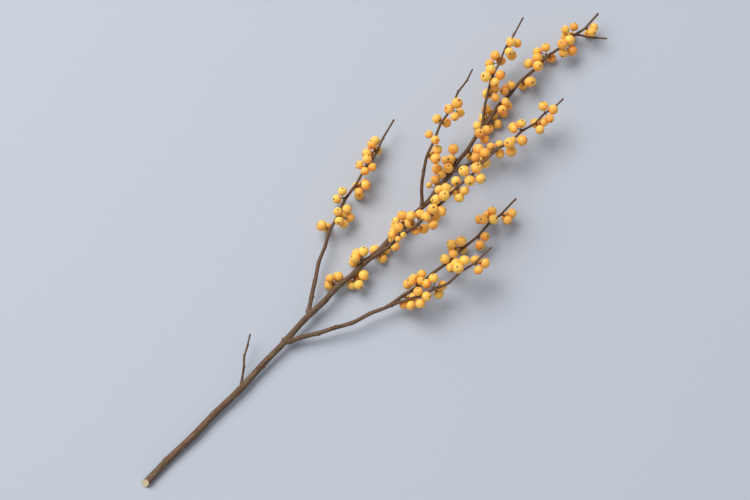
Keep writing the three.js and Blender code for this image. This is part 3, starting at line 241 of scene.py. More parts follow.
class Mesh:
    """Collects closed shells, in millimetres, into one mesh object."""

    def __init__(self):
        self.points, self.faces, self.slots, self.values = [], [], [], {}
        self.count = 0

    def add(self, points, faces, slot=0, **values):
        points = np.asarray(points, float)
        self.points.append(points)
        self.faces += [[i + self.count for i in f] for f in faces]
        self.slots += [slot] * len(faces)
        for name, value in values.items():
            value = np.broadcast_to(np.asarray(value, float), (len(points),))
            self.values.setdefault(name, []).append((self.count, value))
        self.count += len(points)

    def make(self, name):
        mesh = bpy.data.meshes.new(name)
        mesh.from_pydata((np.vstack(self.points) * MM).tolist(), [], self.faces)
        mesh.polygons.foreach_set("material_index", self.slots)
        mesh.polygons.foreach_set("use_smooth", [True] * len(self.faces))
        for key, parts in self.values.items():
            whole = np.zeros(self.count)
            for start, value in parts:
                whole[start : start + len(value)] = value
            write(mesh, key, whole)
        mesh.update()
        made = bpy.data.objects.new(name, mesh)
        bpy.context.scene.collection.objects.link(made)
        return made


def write(mesh, name, value):
    value = np.asarray(value, np.float32)
    if value.ndim == 2:
        mesh.attributes.new(name, "FLOAT_VECTOR", "POINT").data.foreach_set("vector", value.ravel())
    else:
        mesh.attributes.new(name, "FLOAT", "POINT").data.foreach_set("value", value)


def skin_faces(rings, sides):
    """Faces of a closed tube: point 0 is one pole, the last point is the other, with the rings between."""
    j = np.arange(sides)
    k = (j + 1) % sides
    faces = [[0, 1 + b, 1 + a] for a, b in zip(j, k)]
    for r in range(rings - 1):
        a, b = 1 + r * sides, 1 + (r + 1) * sides
        faces += np.stack([a + j, a + k, b + k, b + j], 1).tolist()
    last = 1 + (rings - 1) * sides
    faces += [[last + a, last + b, last + sides] for a, b in zip(j, k)]
    return faces


def shell(pole_a, rings, pole_b):
    """The points and outward faces of a tube through rings (m, n, 3) that closes at both poles."""
    m, n, _ = rings.shape
    points = np.vstack([pole_a, rings.reshape(-1, 3), pole_b])
    faces = skin_faces(m, n)
    corners = np.array([[f[0], f[1], f[2]] for f in faces] + [[f[0], f[2], f[3]] for f in faces if len(f) == 4])
    a, b, c = (points[corners[:, i]] - points.mean(0) for i in range(3))
    if (a * np.cross(b, c)).sum() < 0:
        faces = [f[::-1] for f in faces]
    return points, faces


def basis(axis):
    """Two directions square to axis, which make a right-handed set with it."""
    axis = unit(np.asarray(axis, float))
    helper = np.array([1.0, 0, 0]) if abs(axis[0]) < 0.8 else np.array([0, 1.0, 0])
    side = unit(np.cross(axis, helper))
    return side, np.cross(axis, side), axis


def turned(centre, axis, profile, sides, turn=0.0):
    """Rings of a turned shape: profile rows are (radius, height along axis)."""
    a, b, axis = basis(axis)
    angle = turn + np.linspace(0, 2 * math.pi, sides, endpoint=False)
    around = np.cos(angle)[:, None] * a + np.sin(angle)[:, None] * b
    profile = np.asarray(profile, float)
    return centre + profile[:, 1, None, None] * axis + profile[:, 0, None, None] * around[None], angle


# ---------------------------------------------------------------- the wood


def spline(points, per=24):
    """A centripetal Catmull-Rom curve through points, with the row that each sample lies at."""
    p = np.asarray(points, float)
    p = np.vstack([2 * p[0] - p[1], p, 2 * p[-1] - p[-2]])
    out, rows = [], []
    t = np.linspace(0, 1, per, endpoint=False)[:, None]
    for i in range(1, len(p) - 2):
        a, b, c, d = p[i - 1 : i + 3]
        t0, t1, t2 = (np.linalg.norm(y - x) ** 0.5 for x, y in ((a, b), (b, c), (c, d)))
        m1 = ((b - a) / t0 - (c - a) / (t0 + t1) + (c - b) / t1) * t1
        m2 = ((c - b) / t1 - (d - b) / (t1 + t2) + (d - c) / t2) * t1
        out.append(b + m1 * t + (-3 * b + 3 * c - 2 * m1 - m2) * t**2 + (2 * b - 2 * c + m1 + m2) * t**3)
        rows.append(i - 1 + t[:, 0])
    return np.vstack([*out, p[-2]]), np.append(np.concatenate(rows), len(points) - 1)


class Twig:
    def __init__(self, index, name, rows, nodes):
        self.index, self.name, self.sides = index, name, TWIG_SIDES[index]
        rows = np.asarray(rows, float)
        self.path, at_row = spline(rows[:, :3])
        self.run = np.append(0, np.cumsum(np.linalg.norm(np.diff(self.path, axis=0), axis=1)))
        self.length = self.run[-1]
        self.row_run = np.interp(np.arange(len(rows)), at_row, self.run)
        self.row_radius = rows[:, 3]
        self.heading = unit(np.gradient(self.path, self.run, axis=0))
        self.nodes = [(self.row_run[i], angle) for i, angle in nodes]
        self.forks = []  # where children leave: (run, child's radius)
        # Where a season's growth began, a little above a node.
        self.year = self.nodes[int(len(nodes) * chance(6, index).uniform(0.35, 0.6))][0] + 3.2
        self.leaves_at = 0.0  # how far along it clears its parent's bark

    def frame(self, s):
        """Point, heading and the two side directions at each distance s along the twig."""
        s = np.asarray(s, float)
        inside = np.clip(s, 0, self.length)
        p = np.stack([np.interp(inside, self.run, self.path[:, i]) for i in range(3)], -1)
        t = unit(np.stack([np.interp(inside, self.run, self.heading[:, i]) for i in range(3)], -1))
        p = p + (s - inside)[..., None] * t
        u = unit(np.cross(t, UP))
        return p, t, u, np.cross(u, t)

    def radius(self, s):
        return np.interp(s, self.row_run, self.row_radius)

    def swelling(self, s, angle=None):
        """How much thicker the twig is near its nodes: most on the side that the leaf stood on."""
        swell = np.zeros(np.shape(s))
        for at, facing in self.nodes:
            d = s - at
            side = 1 if angle is None else 0.62 + 0.38 * np.cos(angle - facing)
            swell = np.maximum(swell, side * np.exp(-((d / np.where(d < 0, 2.8, 1.7)) ** 2)))
        return 1 + NODE_SWELLING * swell

    def girth(self, s, even=True):
        """The radius with the swellings of forks and, where even, of nodes, and the bud at the tip."""
        s = np.asarray(s, float)
        r = self.radius(s) * (self.swelling(s) if even else 1)
        for at, child in self.forks:
            r = r * (1 + 0.09 * np.exp(-(((s - at) / (2.2 * child + 1.5)) ** 2)))
        if self.leaves_at:
            r = r * (1 + 0.42 * np.exp(-(((s - self.leaves_at) / (1.25 * self.row_radius[0])) ** 2)))
        past = s - self.length
        bud = np.interp(past, *zip(*BUD_PROFILE))
        return np.where(past > 0, self.row_radius[-1] * bud, r)


twigs = [Twig(i, *row) for i, row in enumerate(TWIGS)]
for child in twigs[1:]:
    parent = twigs[PARENT[child.index]]
    at = parent.run[np.argmin(np.linalg.norm(parent.path - child.path[0], axis=1))]
    along = parent.frame(at)[1]
    heading = child.frame(4.0)[1]
    sine = max(0.3, np.linalg.norm(np.cross(along, heading)))
    child.leaves_at = parent.radius(at) / sine
    child.fork_at, child.sine = at, sine
    parent.forks.append((at + parent.radius(at) / math.tan(math.asin(sine)), child.row_radius[0]))


def stations(length, spots, coarse):
    """Distances of the rings along a twig, closer together at each spot (place, reach, spacing)."""
    s = np.arange(0, length, 0.05)
    gap = np.full(len(s), coarse)
    for place, reach, fine in spots:
        ease = smooth((np.abs(s - place) - reach) / 2.5)
        gap = np.minimum(gap, fine + (coarse - fine) * ease)
    passed = np.append(0, np.cumsum(0.05 / gap))
    n = int(math.ceil(passed[-1]))
    return np.interp(np.linspace(0, passed[-1], n + 1), passed, np.append(s, length))


def scales(along, angle, turns=2, rise=1.15):
    """Height of overlapping bud scales, 0 to 1, that drops at each scale's edge."""
    f = (angle / (2 * math.pi) * turns + along / rise) % 1.0
    return f * smooth((1 - f) / 0.16)


def tube(twig):
    """The twig's bark as a closed tube, with leaf scars, ridges and the bud at its tip."""
    spots = [(at, 2.4, 0.36) for at, _ in twig.nodes]
    spots += [(at, child + 4, 0.55) for at, child in twig.forks]
    spots += [(twig.length + 1.2, 1.8, 0.19), (twig.year + YEAR_RINGS, 0.9, 0.15)]
    if twig.index:
        spots += [(twig.leaves_at, 3.5, 0.42)]
    else:
        spots += [(0, 3.0, 0.5)]
    s = stations(twig.length + BUD_LENGTH - 0.12, spots, 1.9 if twig.index == 0 else 1.6)
    angle = np.linspace(0, 2 * math.pi, twig.sides, endpoint=False)
    p, t, u, v = twig.frame(s)
    r = twig.girth(s, even=False)[:, None] * twig.swelling(s[:, None], angle[None])
    on_axis = np.stack([r * np.cos(angle), r * np.sin(angle), s[:, None] + 0 * r], -1)
    flat = on_axis.reshape(-1, 3)
    rough = lumps(flat * [0.42, 0.42, 0.13], twig.index + 1).reshape(r.shape)
    fine = lumps(flat * [1.3, 1.3, 0.35], twig.index + 21).reshape(r.shape)
    on_bark = (s < twig.length)[:, None]
    r = r * (1 + on_bark * (0.035 * rough + 0.02 * fine))
    for at, facing in twig.nodes:
        d = (s - at)[:, None]
        off = (angle - facing + math.pi) % (2 * math.pi) - math.pi
        arc = off[None] * twig.radius(at)
        shelf = np.exp(-(((d + 0.35) / np.where(d < -0.35, 0.75, 0.38)) ** 2)) * np.exp(-((arc / 0.85) ** 2))
        rib = np.exp(-((arc / 0.6) ** 2)) * np.exp(np.minimum(0, d) / 4.5) * (d < 0)
        r = r + on_bark * (0.30 * shelf + 0.10 * rib)
    for k in range(3):
        line = np.exp(-(((s - twig.year - YEAR_RINGS * k) / 0.16) ** 2))[:, None]
        r = r + on_bark * 0.07 * line * (1 + 0.5 * fine)
    past = np.clip(s - twig.length, 0, None)[:, None]
    r = r * (1 + 0.10 * scales(past, angle[None]) * smooth(past / 0.4))
    shift = np.zeros_like(r)
    if twig.index == 0:
        shift = CUT_SLANT * r * np.sin(angle) * np.clip(1 - s / 11, 0, 1)[:, None] ** 1.5
    rings = p[:, None] + r[..., None] * (np.cos(angle)[None, :, None] * u[:, None] + np.sin(angle)[None, :, None] * v[:, None])
    rings = rings + shift[..., None] * t[:, None]
    tip = twig.frame(twig.length + BUD_LENGTH)[0]
    foot = p[0]
    if twig.index == 0:  # rings across the cut face, from the bark to the pith
        edge = rings[0] - foot
        grain = lumps(np.stack([np.cos(angle) * 3, np.sin(angle) * 3, 0 * angle], -1), 3)
        inner = []
        for share, sink in ((0.10, 0.10), (0.2, 0.05), (0.42, 0), (0.62, 0), (0.78, 0), (0.88, 0.02), (0.94, 0.03), (0.975, 0)):
            lift = (sink + 0.1 * grain * (1 - share))[:, None] * t[0]
            inner.append(foot + edge * share + lift)
        rings = np.vstack([np.array(inner), rings])
        foot = foot + 0.12 * t[0]
    return shell(foot, rings, tip)


def bud(centre, axis, length, width, turn):
    """A small egg-shaped bud with a few overlapping scales."""
    rows = [(0.5, -0.24), (0.82, -0.08), (0.98, 0.10), (1.0, 0.28), (0.94, 0.46), (0.80, 0.62), (0.60, 0.76), (0.37, 0.88), (0.16, 0.96)]
    profile = [(w * width / 2, h * length) for w, h in rows]
    rings, angle = turned(centre, axis, profile, 14, turn)
    a, b, axis = basis(axis)
    middle = centre + np.array([h for _, h in profile])[:, None, None] * axis
    step = scales(np.array([h for _, h in rows])[:, None] * 2.4, angle[None], 2, 1.0)
    rings = middle + (rings - middle) * (1 + 0.13 * step[..., None])
    return shell(centre - 0.3 * length * axis, rings, centre + length * axis)


def object_of(name, points, faces):
    made = Mesh()
    made.add(points, faces)
    return made.make(name)


def with_fruit(twig, at, facing):
    """Whether a cluster grows at this node."""
    p, t, u, v = twig.frame(at)
    for index, hub, _, _ in CLUSTERS:
        if index == twig.index and np.linalg.norm(np.array(hub) - p) < twig.radius(at) + 2.2:
            return True
    return False


buds = Mesh()
bud_marks = []
for twig in twigs:
    for i, (at, facing) in enumerate(twig.nodes):
        dice = chance(1, twig.index, i)
        fruit = with_fruit(twig, at, facing)
        if twig.index == 0 and at < 60:
            continue
        place = at + (1.75 if fruit else 0.75)
        p, t, u, v = twig.frame(place)
        out = math.cos(facing) * u + math.sin(facing) * v
        lean = 1.9 if fruit else 1.5
        length = dice.uniform(1.2, 1.6) * (0.95 if twig.index else 1.1)
        width = length * dice.uniform(0.82, 0.94)
        r = float(twig.girth(place))
        centre = p + out * (r - 0.02 * length)
        points, faces = bud(centre, out + lean * t, length, width, dice.uniform(0, 6))
        buds.add(points, faces)
        bud_marks.append((centre + 0.35 * length * unit(out + lean * t), length))

wood = object_of("woody_branch_bark", *tube(twigs[0]))
helpers = [object_of("helper_%d" % t.index, *tube(t)) for t in twigs[1:]] + [buds.make("helper_buds")]
for helper in helpers:
    join = wood.modifiers.new("join", "BOOLEAN")
    join.operation, join.solver, join.object = "UNION", "MANIFOLD", helper
bpy.context.view_layer.update()
joined = bpy.data.meshes.new_from_object(wood.evaluated_get(bpy.context.evaluated_depsgraph_get()))
wood.modifiers.clear()
old, wood.data = wood.data, joined
bpy.data.meshes.remove(old)
for helper in helpers:
    mesh = helper.data
    bpy.data.objects.remove(helper)
    bpy.data.meshes.remove(mesh)
wood.data.name = "woody_branch_bark"
wood.data.materials.clear()


# ---------------------------------------------------------------- the wood, once joined


def clean(mesh):
    """Merges the slivers that joining leaves, by the first distance that keeps the mesh closed."""
    for reach in (0.03, 0.02, 0.025, 0.015, 0.01):
        work = bmesh.new()
        work.from_mesh(mesh)
        bmesh.ops.remove_doubles(work, verts=work.verts, dist=reach * MM)
        bmesh.ops.dissolve_degenerate(work, edges=work.edges, dist=0.004 * MM)
        bmesh.ops.triangulate(work, faces=[f for f in work.faces if len(f.verts) > 4])
        closed = all(len(e.link_faces) == 2 for e in work.edges)
        if closed:
            work.to_mesh(mesh)
        work.free()
        if closed:
            return


def positions(mesh):
    co = np.zeros(len(mesh.vertices) * 3, np.float64)
    mesh.vertices.foreach_get("co", co)
    return co.reshape(-1, 3) / MM


def along(twig, points):
    """The run of each point along a twig."""
    s = np.arange(-1, twig.length + BUD_LENGTH + 0.5, 0.4)
    p = twig.frame(s)[0]
    tree = KDTree(len(p))
    for i, q in enumerate(p):
        tree.insert(q, i)
    tree.balance()
    at = s[[tree.find(q)[1] for q in points]]
    for _ in range(2):
        q, t, _, _ = twig.frame(at)
        at = at + ((points - q) * t).sum(1)
    return at


def grain_of(twig, points, at):
    """Across, across and along the twig, in millimetres, with each twig in a place of its own."""
    p, _, u, v = twig.frame(at)
    d = points - p
    return np.stack([(d * u).sum(1), (d * v).sum(1), at + 211.0 * twig.index], 1)


def nearest(points):
    """For each point: the twig whose bark it lies nearest to, its run along that twig, and its gaps to all."""
    best = np.full(len(points), 1e9)
    owner = np.zeros(len(points), int)
    run = np.zeros(len(points))
    off = np.full((len(points), len(twigs)), 1e9)
    for twig in twigs:
        low, high = twig.path.min(0) - 9, twig.path.max(0) + 9
        near = np.nonzero(((points > low) & (points < high)).all(1))[0]
        at = along(twig, points[near])
        q = twig.frame(at)[0]
        gap = np.linalg.norm(points[near] - q, axis=1) - twig.girth(np.clip(at, 0, None))
        off[near, twig.index] = gap
        closer = gap < best[near]
        chosen = near[closer]
        best[chosen], owner[chosen], run[chosen] = gap[closer], twig.index, at[closer]
    return owner, run, best, off


def soften_forks(mesh):
    """Rounds the creases where a twig leaves another, as the bark does there."""
    points = positions(mesh)
    _, _, _, off = nearest(points)
    weight = np.zeros(len(points))
    for child in twigs[1:]:
        parent = twigs[PARENT[child.index]]
        spot = child.frame(child.leaves_at)[0]
        close = np.linalg.norm(points - spot, axis=1) < 5 + 2.2 * parent.radius(child.fork_at)
        gap = np.abs(off[:, child.index]) + np.abs(off[:, parent.index])
        weight = np.maximum(weight, close * smooth(1.15 - gap / (0.35 + 0.55 * child.row_radius[0])))
    edges = np.zeros(len(mesh.edges) * 2, int)
    mesh.edges.foreach_get("vertices", edges)
    edges = edges.reshape(-1, 2)
    used = (weight[edges] > 0).any(1)
    edges = edges[used]
    many = np.bincount(edges.ravel(), minlength=len(points)).clip(1)
    for _ in range(14):
        total = np.zeros_like(points)
        np.add.at(total, edges[:, 0], points[edges[:, 1]])
        np.add.at(total, edges[:, 1], points[edges[:, 0]])
        average = total / many[:, None]
        points = points + 0.55 * weight[:, None] * (average - points)
    points[:, 2] = np.maximum(points[:, 2], 0.02)  # nothing dips below the surface that it lies on
    mesh.vertices.foreach_set("co", (points * MM).ravel())
    mesh.update()


def dress_wood(mesh):
    """Writes what the bark's material needs: the place on its twig, its age, and the marks of leaves and buds."""
    points = positions(mesh)
    owner, run, over, _ = nearest(points)
    corners = np.zeros(len(mesh.loops), int)
    mesh.loops.foreach_get("vertex_index", corners)
    face_of = np.repeat(np.arange(len(mesh.polygons)), [p.loop_total for p in mesh.polygons])
    first = np.array([p.loop_start for p in mesh.polygons])
    side = owner[corners[first]][face_of]  # one twig for the whole face, so that the grain never smears
    grain = np.zeros((len(corners), 3))
    age, red, scar, budded, ring = (np.zeros(len(points)) for _ in range(5))
    for twig in twigs:
        mine = np.nonzero(owner == twig.index)[0]
        s = run[mine]
        x, y, _ = grain_of(twig, points[mine], s).T
        here = np.nonzero(side == twig.index)[0]
        at = points[corners[here]]
        grain[here] = grain_of(twig, at, along(twig, at))
        age[mine] = np.clip((twig.radius(np.clip(s, 0, twig.length)) - 0.8) / 2.6, 0, 1)
        red[mine] = 1.0 if twig.index == RED_TWIG else chance(2, twig.index).uniform(0, 0.4)
        turn = np.arctan2(y, x)
        for at, facing in twig.nodes:
            close = np.abs(s - at) < 5
            arc = ((turn[close] - facing + math.pi) % (2 * math.pi) - math.pi) * twig.radius(at)
            dist = s[close] - at
            mark = np.exp(-(((dist + 0.42) / 0.42) ** 2) - (arc / 0.72) ** 2)
            scar[mine[close]] = np.maximum(scar[mine[close]], mark)
        for k in range(3):
            line = np.exp(-(((s - twig.year - YEAR_RINGS * (k - 0.5)) / 0.14) ** 2))
            ring[mine] = np.maximum(ring[mine], line)
        budded[mine] = smooth((s - twig.length + 0.1) / 0.4)
    tree = KDTree(len(points))
    for i, q in enumerate(points):
        tree.insert(q, i)
    tree.balance()
    for centre, length in bud_marks:
        for _, i, dist in tree.find_range(centre, length * 0.62):
            if over[i] > 0.16:
                budded[i] = max(budded[i], smooth((over[i] - 0.16) / 0.14))
    foot, heading, _, _ = (a for a in twigs[0].frame(0.0))
    rel = points - foot
    u, v = twigs[0].frame(0.0)[2:]
    across = np.stack([rel @ u, rel @ v], 1)
    plane = rel @ heading - CUT_SLANT * across[:, 1]
    inside = np.linalg.norm(across, axis=1) / twigs[0].girth(0.0)
    core = np.where(np.abs(plane) < 0.45, np.clip(inside, 0, 1.2), 1.2)
    mesh.attributes.new("grain", "FLOAT_VECTOR", "CORNER").data.foreach_set("vector", grain.astype(np.float32).ravel())
    for name, value in (("age", age), ("red", red), ("scar", scar), ("budded", budded), ("ring", ring), ("core", core)):
        write(mesh, name, value)
    faces = np.array([[p.normal.dot(heading), max(abs(plane[i]) for i in p.vertices), max(inside[i] for i in p.vertices)] if abs(plane[p.vertices[0]]) < 1 and inside[p.vertices[0]] < 1.1 else [1, 9, 9] for p in mesh.polygons])
    cut = (faces[:, 0] < -0.3) & (faces[:, 1] < 0.35)
    mesh.polygons.foreach_set("material_index", cut.astype(int))
    mesh.polygons.foreach_set("use_smooth", np.ones(len(cut), bool))


clean(wood.data)
soften_forks(wood.data)
dress_wood(wood.data)


# ---------------------------------------------------------------- the fruit


def berry_body(centre, axis, r, dice, wrinkled):
    """A berry's skin: dimpled at its stalk, a little flat where the dark scar sits, and never quite round."""
    sides = BERRY_SIDES
    bottom = np.radians([4, 9, 15, 22, 30, 39, 49, 59, 69, 79, 89, 99, 109, 119, 129, 139, 148, 156, 163, 168.5, 173, 176.5])
    a, b, axis = basis(axis)
    turn = dice.uniform(0, 6.28)
    angle = turn + np.linspace(0, 2 * math.pi, sides, endpoint=False)
    oblate = dice.uniform(0.93, 1.0)
    widest = dice.uniform(-0.05, 0.05)
    theta = bottom[:, None] + 0 * angle[None]
    direction = (
        np.sin(theta)[..., None] * (np.cos(angle)[None, :, None] * a + np.sin(angle)[None, :, None] * b)
        - np.cos(theta)[..., None] * axis
    )
    uneven = lumps(direction.reshape(-1, 3) * 1.35 + dice.uniform(-50, 50, 3), 5).reshape(theta.shape)
    reach = r * (0.988 + 0.022 * uneven)
    if wrinkled:
        folds = np.sin(angle * dice.integers(7, 10) + 1.6 * lumps(direction.reshape(-1, 3) * 2.1, 8).reshape(theta.shape))
        reach = reach * (1 - wrinkled * (0.030 + 0.026 * folds) * np.sin(theta) ** 1.5)
    reach = reach * (1 - 0.085 * np.exp(-((bottom / 0.30) ** 2)) - 0.05 * np.exp(-(((math.pi - bottom) / 0.24) ** 2)))[:, None]
    height = (direction @ axis) * reach * oblate
    out = direction - (direction @ axis)[..., None] * axis
    girth = 1 + widest * np.cos(theta)
    rings = centre + out * (reach * girth)[..., None] + height[..., None] * axis
    base = centre - axis * r * oblate * (0.988 - 0.085)
    far = centre + axis * r * oblate * (0.988 - 0.05)
    points, faces = shell(base, rings, far)
    pole = np.concatenate([[0], np.repeat(bottom / math.pi, sides), [1]])
    halo = np.exp(-(((1 - pole) * math.pi / 0.25) ** 2))
    # Painted shade: a deeper orange on the side of each berry that faces mostly downward, away from the light, with
    # some random spread per berry.
    shade_side = unit(-0.5 * UP + dice.normal(0, 0.5, 3))
    blush = smooth((np.concatenate([[-axis @ shade_side], (direction @ shade_side).ravel(), [axis @ shade_side]]) + 0.45) / 1.3)
    return points, faces, pole, halo, blush, base, far


def scar_button(far, axis, r, dice):
    """The dark dried stigma at the far pole: a low, faintly lobed button with a dip in its middle."""
    lobes = dice.integers(5, 8)
    size = r * dice.uniform(0.118, 0.158)
    a, b, axis = basis(axis)
    lean = unit(axis + 0.10 * (dice.uniform(-1, 1) * a + dice.uniform(-1, 1) * b))
    profile = [(0.86, -0.45), (1.06, -0.08), (1.08, 0.16), (0.98, 0.36), (0.80, 0.47), (0.58, 0.44), (0.34, 0.30), (0.16, 0.22)]
    rings, angle = turned(far, lean, np.array(profile) * size, 24, dice.uniform(0, 6))
    slow = dice.uniform(0, 6, 3)
    lobe = 1 + 0.035 * np.cos(lobes * angle) + 0.05 * np.cos(3 * angle + slow[0]) + 0.05 * np.cos(2 * angle + slow[1])
    middle = far + np.array([h for _, h in profile])[:, None, None] * size * lean
    rings = middle + (rings - middle) * lobe[None, :, None]
    points, faces = shell(far - 0.6 * size * lean, rings, far + 0.20 * size * lean)
    rim = np.concatenate([[1], np.repeat([1, 1, 0.95, 0.7, 0.3, 0, 0, 0], 24), [0]])
    return points, faces, rim


def calyx(base, axis, r, dice):
    """The small dried calyx between stalk and berry, with four to six blunt lobes that lie on the skin."""
    lobes = dice.integers(4, 7)
    size = r * dice.uniform(0.27, 0.34)
    profile = [(0.30, -0.34), (0.48, -0.20), (0.72, -0.08), (0.94, 0.02), (1.0, 0.10), (0.80, 0.14), (0.4, 0.1)]
    rings, angle = turned(base, axis, np.array(profile) * size, 22, dice.uniform(0, 6))
    edge = np.abs(np.cos(lobes * (angle - angle[0]) / 2)) ** 0.7
    share = np.array([w for w, _ in profile])
    cut = 1 - 0.34 * share[:, None] ** 2 * (1 - edge[None])
    middle = base + np.array([h for _, h in profile])[:, None, None] * size * unit(axis)
    rings = middle + (rings - middle) * cut[..., None]
    rings = rings + 0.05 * size * (share**3)[:, None, None] * edge[None, :, None] * unit(axis)
    return shell(base - 0.4 * size * axis, rings, base + 0.3 * size * axis)


def stalk(hub, out, base, axis, dice):
    """A berry's stalk, a little bent, thicker at both ends."""
    length = np.linalg.norm(base - hub)
    start = hub - 0.35 * unit(0.6 * out + unit(base - hub))
    end = base + 0.28 * axis
    near = start + unit(out * 0.55 + unit(base - hub)) * length * 0.42
    far = end - axis * length * 0.40
    t = np.linspace(0.0, 1.0, 10)[:, None]
    line = (1 - t) ** 3 * start + 3 * (1 - t) ** 2 * t * near + 3 * (1 - t) * t**2 * far + t**3 * end
    heading = unit(np.gradient(line, axis=0))
    girth = dice.uniform(0.38, 0.45)
    radius = girth * (1 + 0.45 * np.exp(-(t[:, 0] / 0.10)) + 0.38 * np.exp(-((1 - t[:, 0]) / 0.10)))
    side = unit(np.cross(heading, np.cross(axis, out) + 1e-3 * UP + 1e-4))
    other = np.cross(heading, side)
    angle = np.linspace(0, 2 * math.pi, STALK_SIDES, endpoint=False)
    rough = 1 + 0.07 * np.array([math.sin(3.1 * i + dice.uniform(0, 3)) for i in range(10)])
    rings = line[:, None] + (radius * rough)[:, None, None] * (
        np.cos(angle)[None, :, None] * side[:, None] + np.sin(angle)[None, :, None] * other[:, None]
    )
    points, faces = shell(line[0] - 0.2 * heading[0], rings, line[-1] + 0.2 * heading[-1])
    along = np.concatenate([[0], np.repeat(t[:, 0], STALK_SIDES), [1]])
    return points, faces, along


def cushion(hub, out, dice):
    """The knobbly foot that the stalks share in the leaf axil."""
    size = dice.uniform(0.98, 1.12)
    profile = [(0.80, -0.95), (0.96, -0.55), (1.0, -0.15), (0.93, 0.15), (0.74, 0.42), (0.42, 0.60)]
    rings, angle = turned(hub, out, np.array(profile) * size, 14, dice.uniform(0, 6))
    uneven = lumps(rings.reshape(-1, 3) * 1.4, 4).reshape(rings.shape[:2])
    middle = hub + np.array([h for _, h in profile])[:, None, None] * size * unit(out)
    rings = middle + (rings - middle) * (1 + 0.22 * uneven[..., None])
    return shell(hub - 1.1 * size * out, rings, hub + 0.66 * size * out)


SKIN, STIGMA, STALK = 0, 1, 2
fruit = []
for number, (index, hub, out, berries) in enumerate(CLUSTERS, 1):
    hub, out = np.array(hub), unit(np.array(out))
    made = Mesh()
    mood = chance(3, number).uniform(-0.18, 0.18)
    made.add(*cushion(hub, out, chance(4, number)), slot=STALK, tone=0.3, along=0.0)
    for i, (x, y, z, r) in enumerate(berries):
        dice = chance(5, number, i)
        centre = np.array([x, y, z])
        toward = unit(centre - hub)
        a, b, _ = basis(toward)
        axis = unit(toward + dice.normal(0, 0.11) * a + dice.normal(0, 0.11) * b)
        wrinkled = dice.uniform(0.6, 1.0) if dice.uniform() < 0.025 else 0
        tone = float(np.clip(0.5 + mood + dice.normal(0, 0.27), 0, 1))
        green = float(np.clip(dice.uniform(-1.2, 0.5) + (0.9 if r < 3.4 else 0), 0, 1))
        points, faces, pole, halo, blush, base, far = berry_body(centre, axis, r, dice, wrinkled)
        made.add(points, faces, SKIN, tone=tone, pole=pole, halo=halo, blush=blush * dice.uniform(0.35, 1), green=green, dry=float(wrinkled > 0))
        points, faces, rim = scar_button(far, axis, r, dice)
        made.add(points, faces, STIGMA, tone=tone, rim=rim)
        made.add(*calyx(base, axis, r, dice), slot=STALK, tone=tone, along=1.0)
        points, faces, along = stalk(hub, out, base, axis, dice)
        made.add(points, faces, STALK, tone=tone, along=along)
    for points in made.points:
        points[:, 2] = np.maximum(points[:, 2], 0.02)
    fruit.append(made.make("golden_berries_%02d" % number))


# ---------------------------------------------------------------- materials


class Surface:
    """A material with a Principled shader, and short ways to add nodes to it."""

    def __init__(self, name, **settings):
        self.material = bpy.data.materials.new(name)
        self.material.use_nodes = True
        self.tree = self.material.node_tree
        self.tree.nodes.clear()
        self.shader = self.tree.nodes.new("ShaderNodeBsdfPrincipled")
        out = self.tree.nodes.new("ShaderNodeOutputMaterial")
        self.tree.links.new(self.shader.outputs[0], out.inputs["Surface"])
        for key, value in settings.items():
            self.shader.inputs[key.replace("_", " ")].default_value = value

    def plug(self, socket, value):
        if isinstance(value, bpy.types.NodeSocket):
            self.tree.links.new(value, socket)
        elif value is not None:
            socket.default_value = value

    def set(self, name, value):
        self.plug(self.shader.inputs[name], value)

    def attribute(self, name, vector=False):
        node = self.tree.nodes.new("ShaderNodeAttribute")
        node.attribute_name = name
        return node.outputs["Vector" if vector else "Fac"]

    def place(self):
        return self.tree.nodes.new("ShaderNodeTexCoord").outputs["Object"]

    def math(self, kind, a, b=None, c=None, clamp=False):
        node = self.tree.nodes.new("ShaderNodeMath")
        node.operation, node.use_clamp = kind, clamp
        for socket, value in zip(node.inputs, (a, b, c)):
            self.plug(socket, value)
        return node.outputs[0]

    def scaled(self, vector, by):
        node = self.tree.nodes.new("ShaderNodeVectorMath")
        node.operation = "MULTIPLY"
        self.plug(node.inputs[0], vector)
        self.plug(node.inputs[1], by)
        return node.outputs[0]

    def noise(self, vector, scale, detail=3.0, rough=0.55, warp=0.0):
        node = self.tree.nodes.new("ShaderNodeTexNoise")
        self.plug(node.inputs["Vector"], vector)
        for key, value in (("Scale", scale), ("Detail", detail), ("Roughness", rough), ("Distortion", warp)):
            node.inputs[key].default_value = value
        return node.outputs["Fac"]

    def cells(self, vector, scale, kind="F1", random=1.0):
        node = self.tree.nodes.new("ShaderNodeTexVoronoi")
        node.feature = kind
        self.plug(node.inputs["Vector"], vector)
        node.inputs["Scale"].default_value = scale
        node.inputs["Randomness"].default_value = random
        return node.outputs

    def spread(self, value, low, high, to_low=0.0, to_high=1.0):
        """Value mapped from low..high to to_low..to_high, with soft ends."""
        node = self.tree.nodes.new("ShaderNodeMapRange")
        node.interpolation_type = "SMOOTHSTEP"
        for key, v in (("Value", value), ("From Min", low), ("From Max", high), ("To Min", to_low), ("To Max", to_high)):
            self.plug(node.inputs[key], v)
        return node.outputs[0]

    def mix(self, a, b, share, kind="MIX"):
        node = self.tree.nodes.new("ShaderNodeMix")
        node.data_type, node.blend_type = "RGBA", kind
        node.clamp_factor = True
        self.plug(node.inputs["Factor"], share)
        colour = [s for s in node.inputs if s.type == "RGBA"]
        for socket, value in zip(colour, (a, b)):
            self.plug(socket, value if isinstance(value, bpy.types.NodeSocket) else (*value, 1.0))
        return [s for s in node.outputs if s.type == "RGBA"][0]

    def bump(self, height, depth, strength=1.0, normal=None):
        """Relief of depth metres for a height from 0 to 1."""
        node = self.tree.nodes.new("ShaderNodeBump")
        node.inputs["Strength"].default_value = strength
        node.inputs["Distance"].default_value = depth
        self.plug(node.inputs["Height"], height)
        self.plug(node.inputs["Normal"], normal)
        return node.outputs[0]


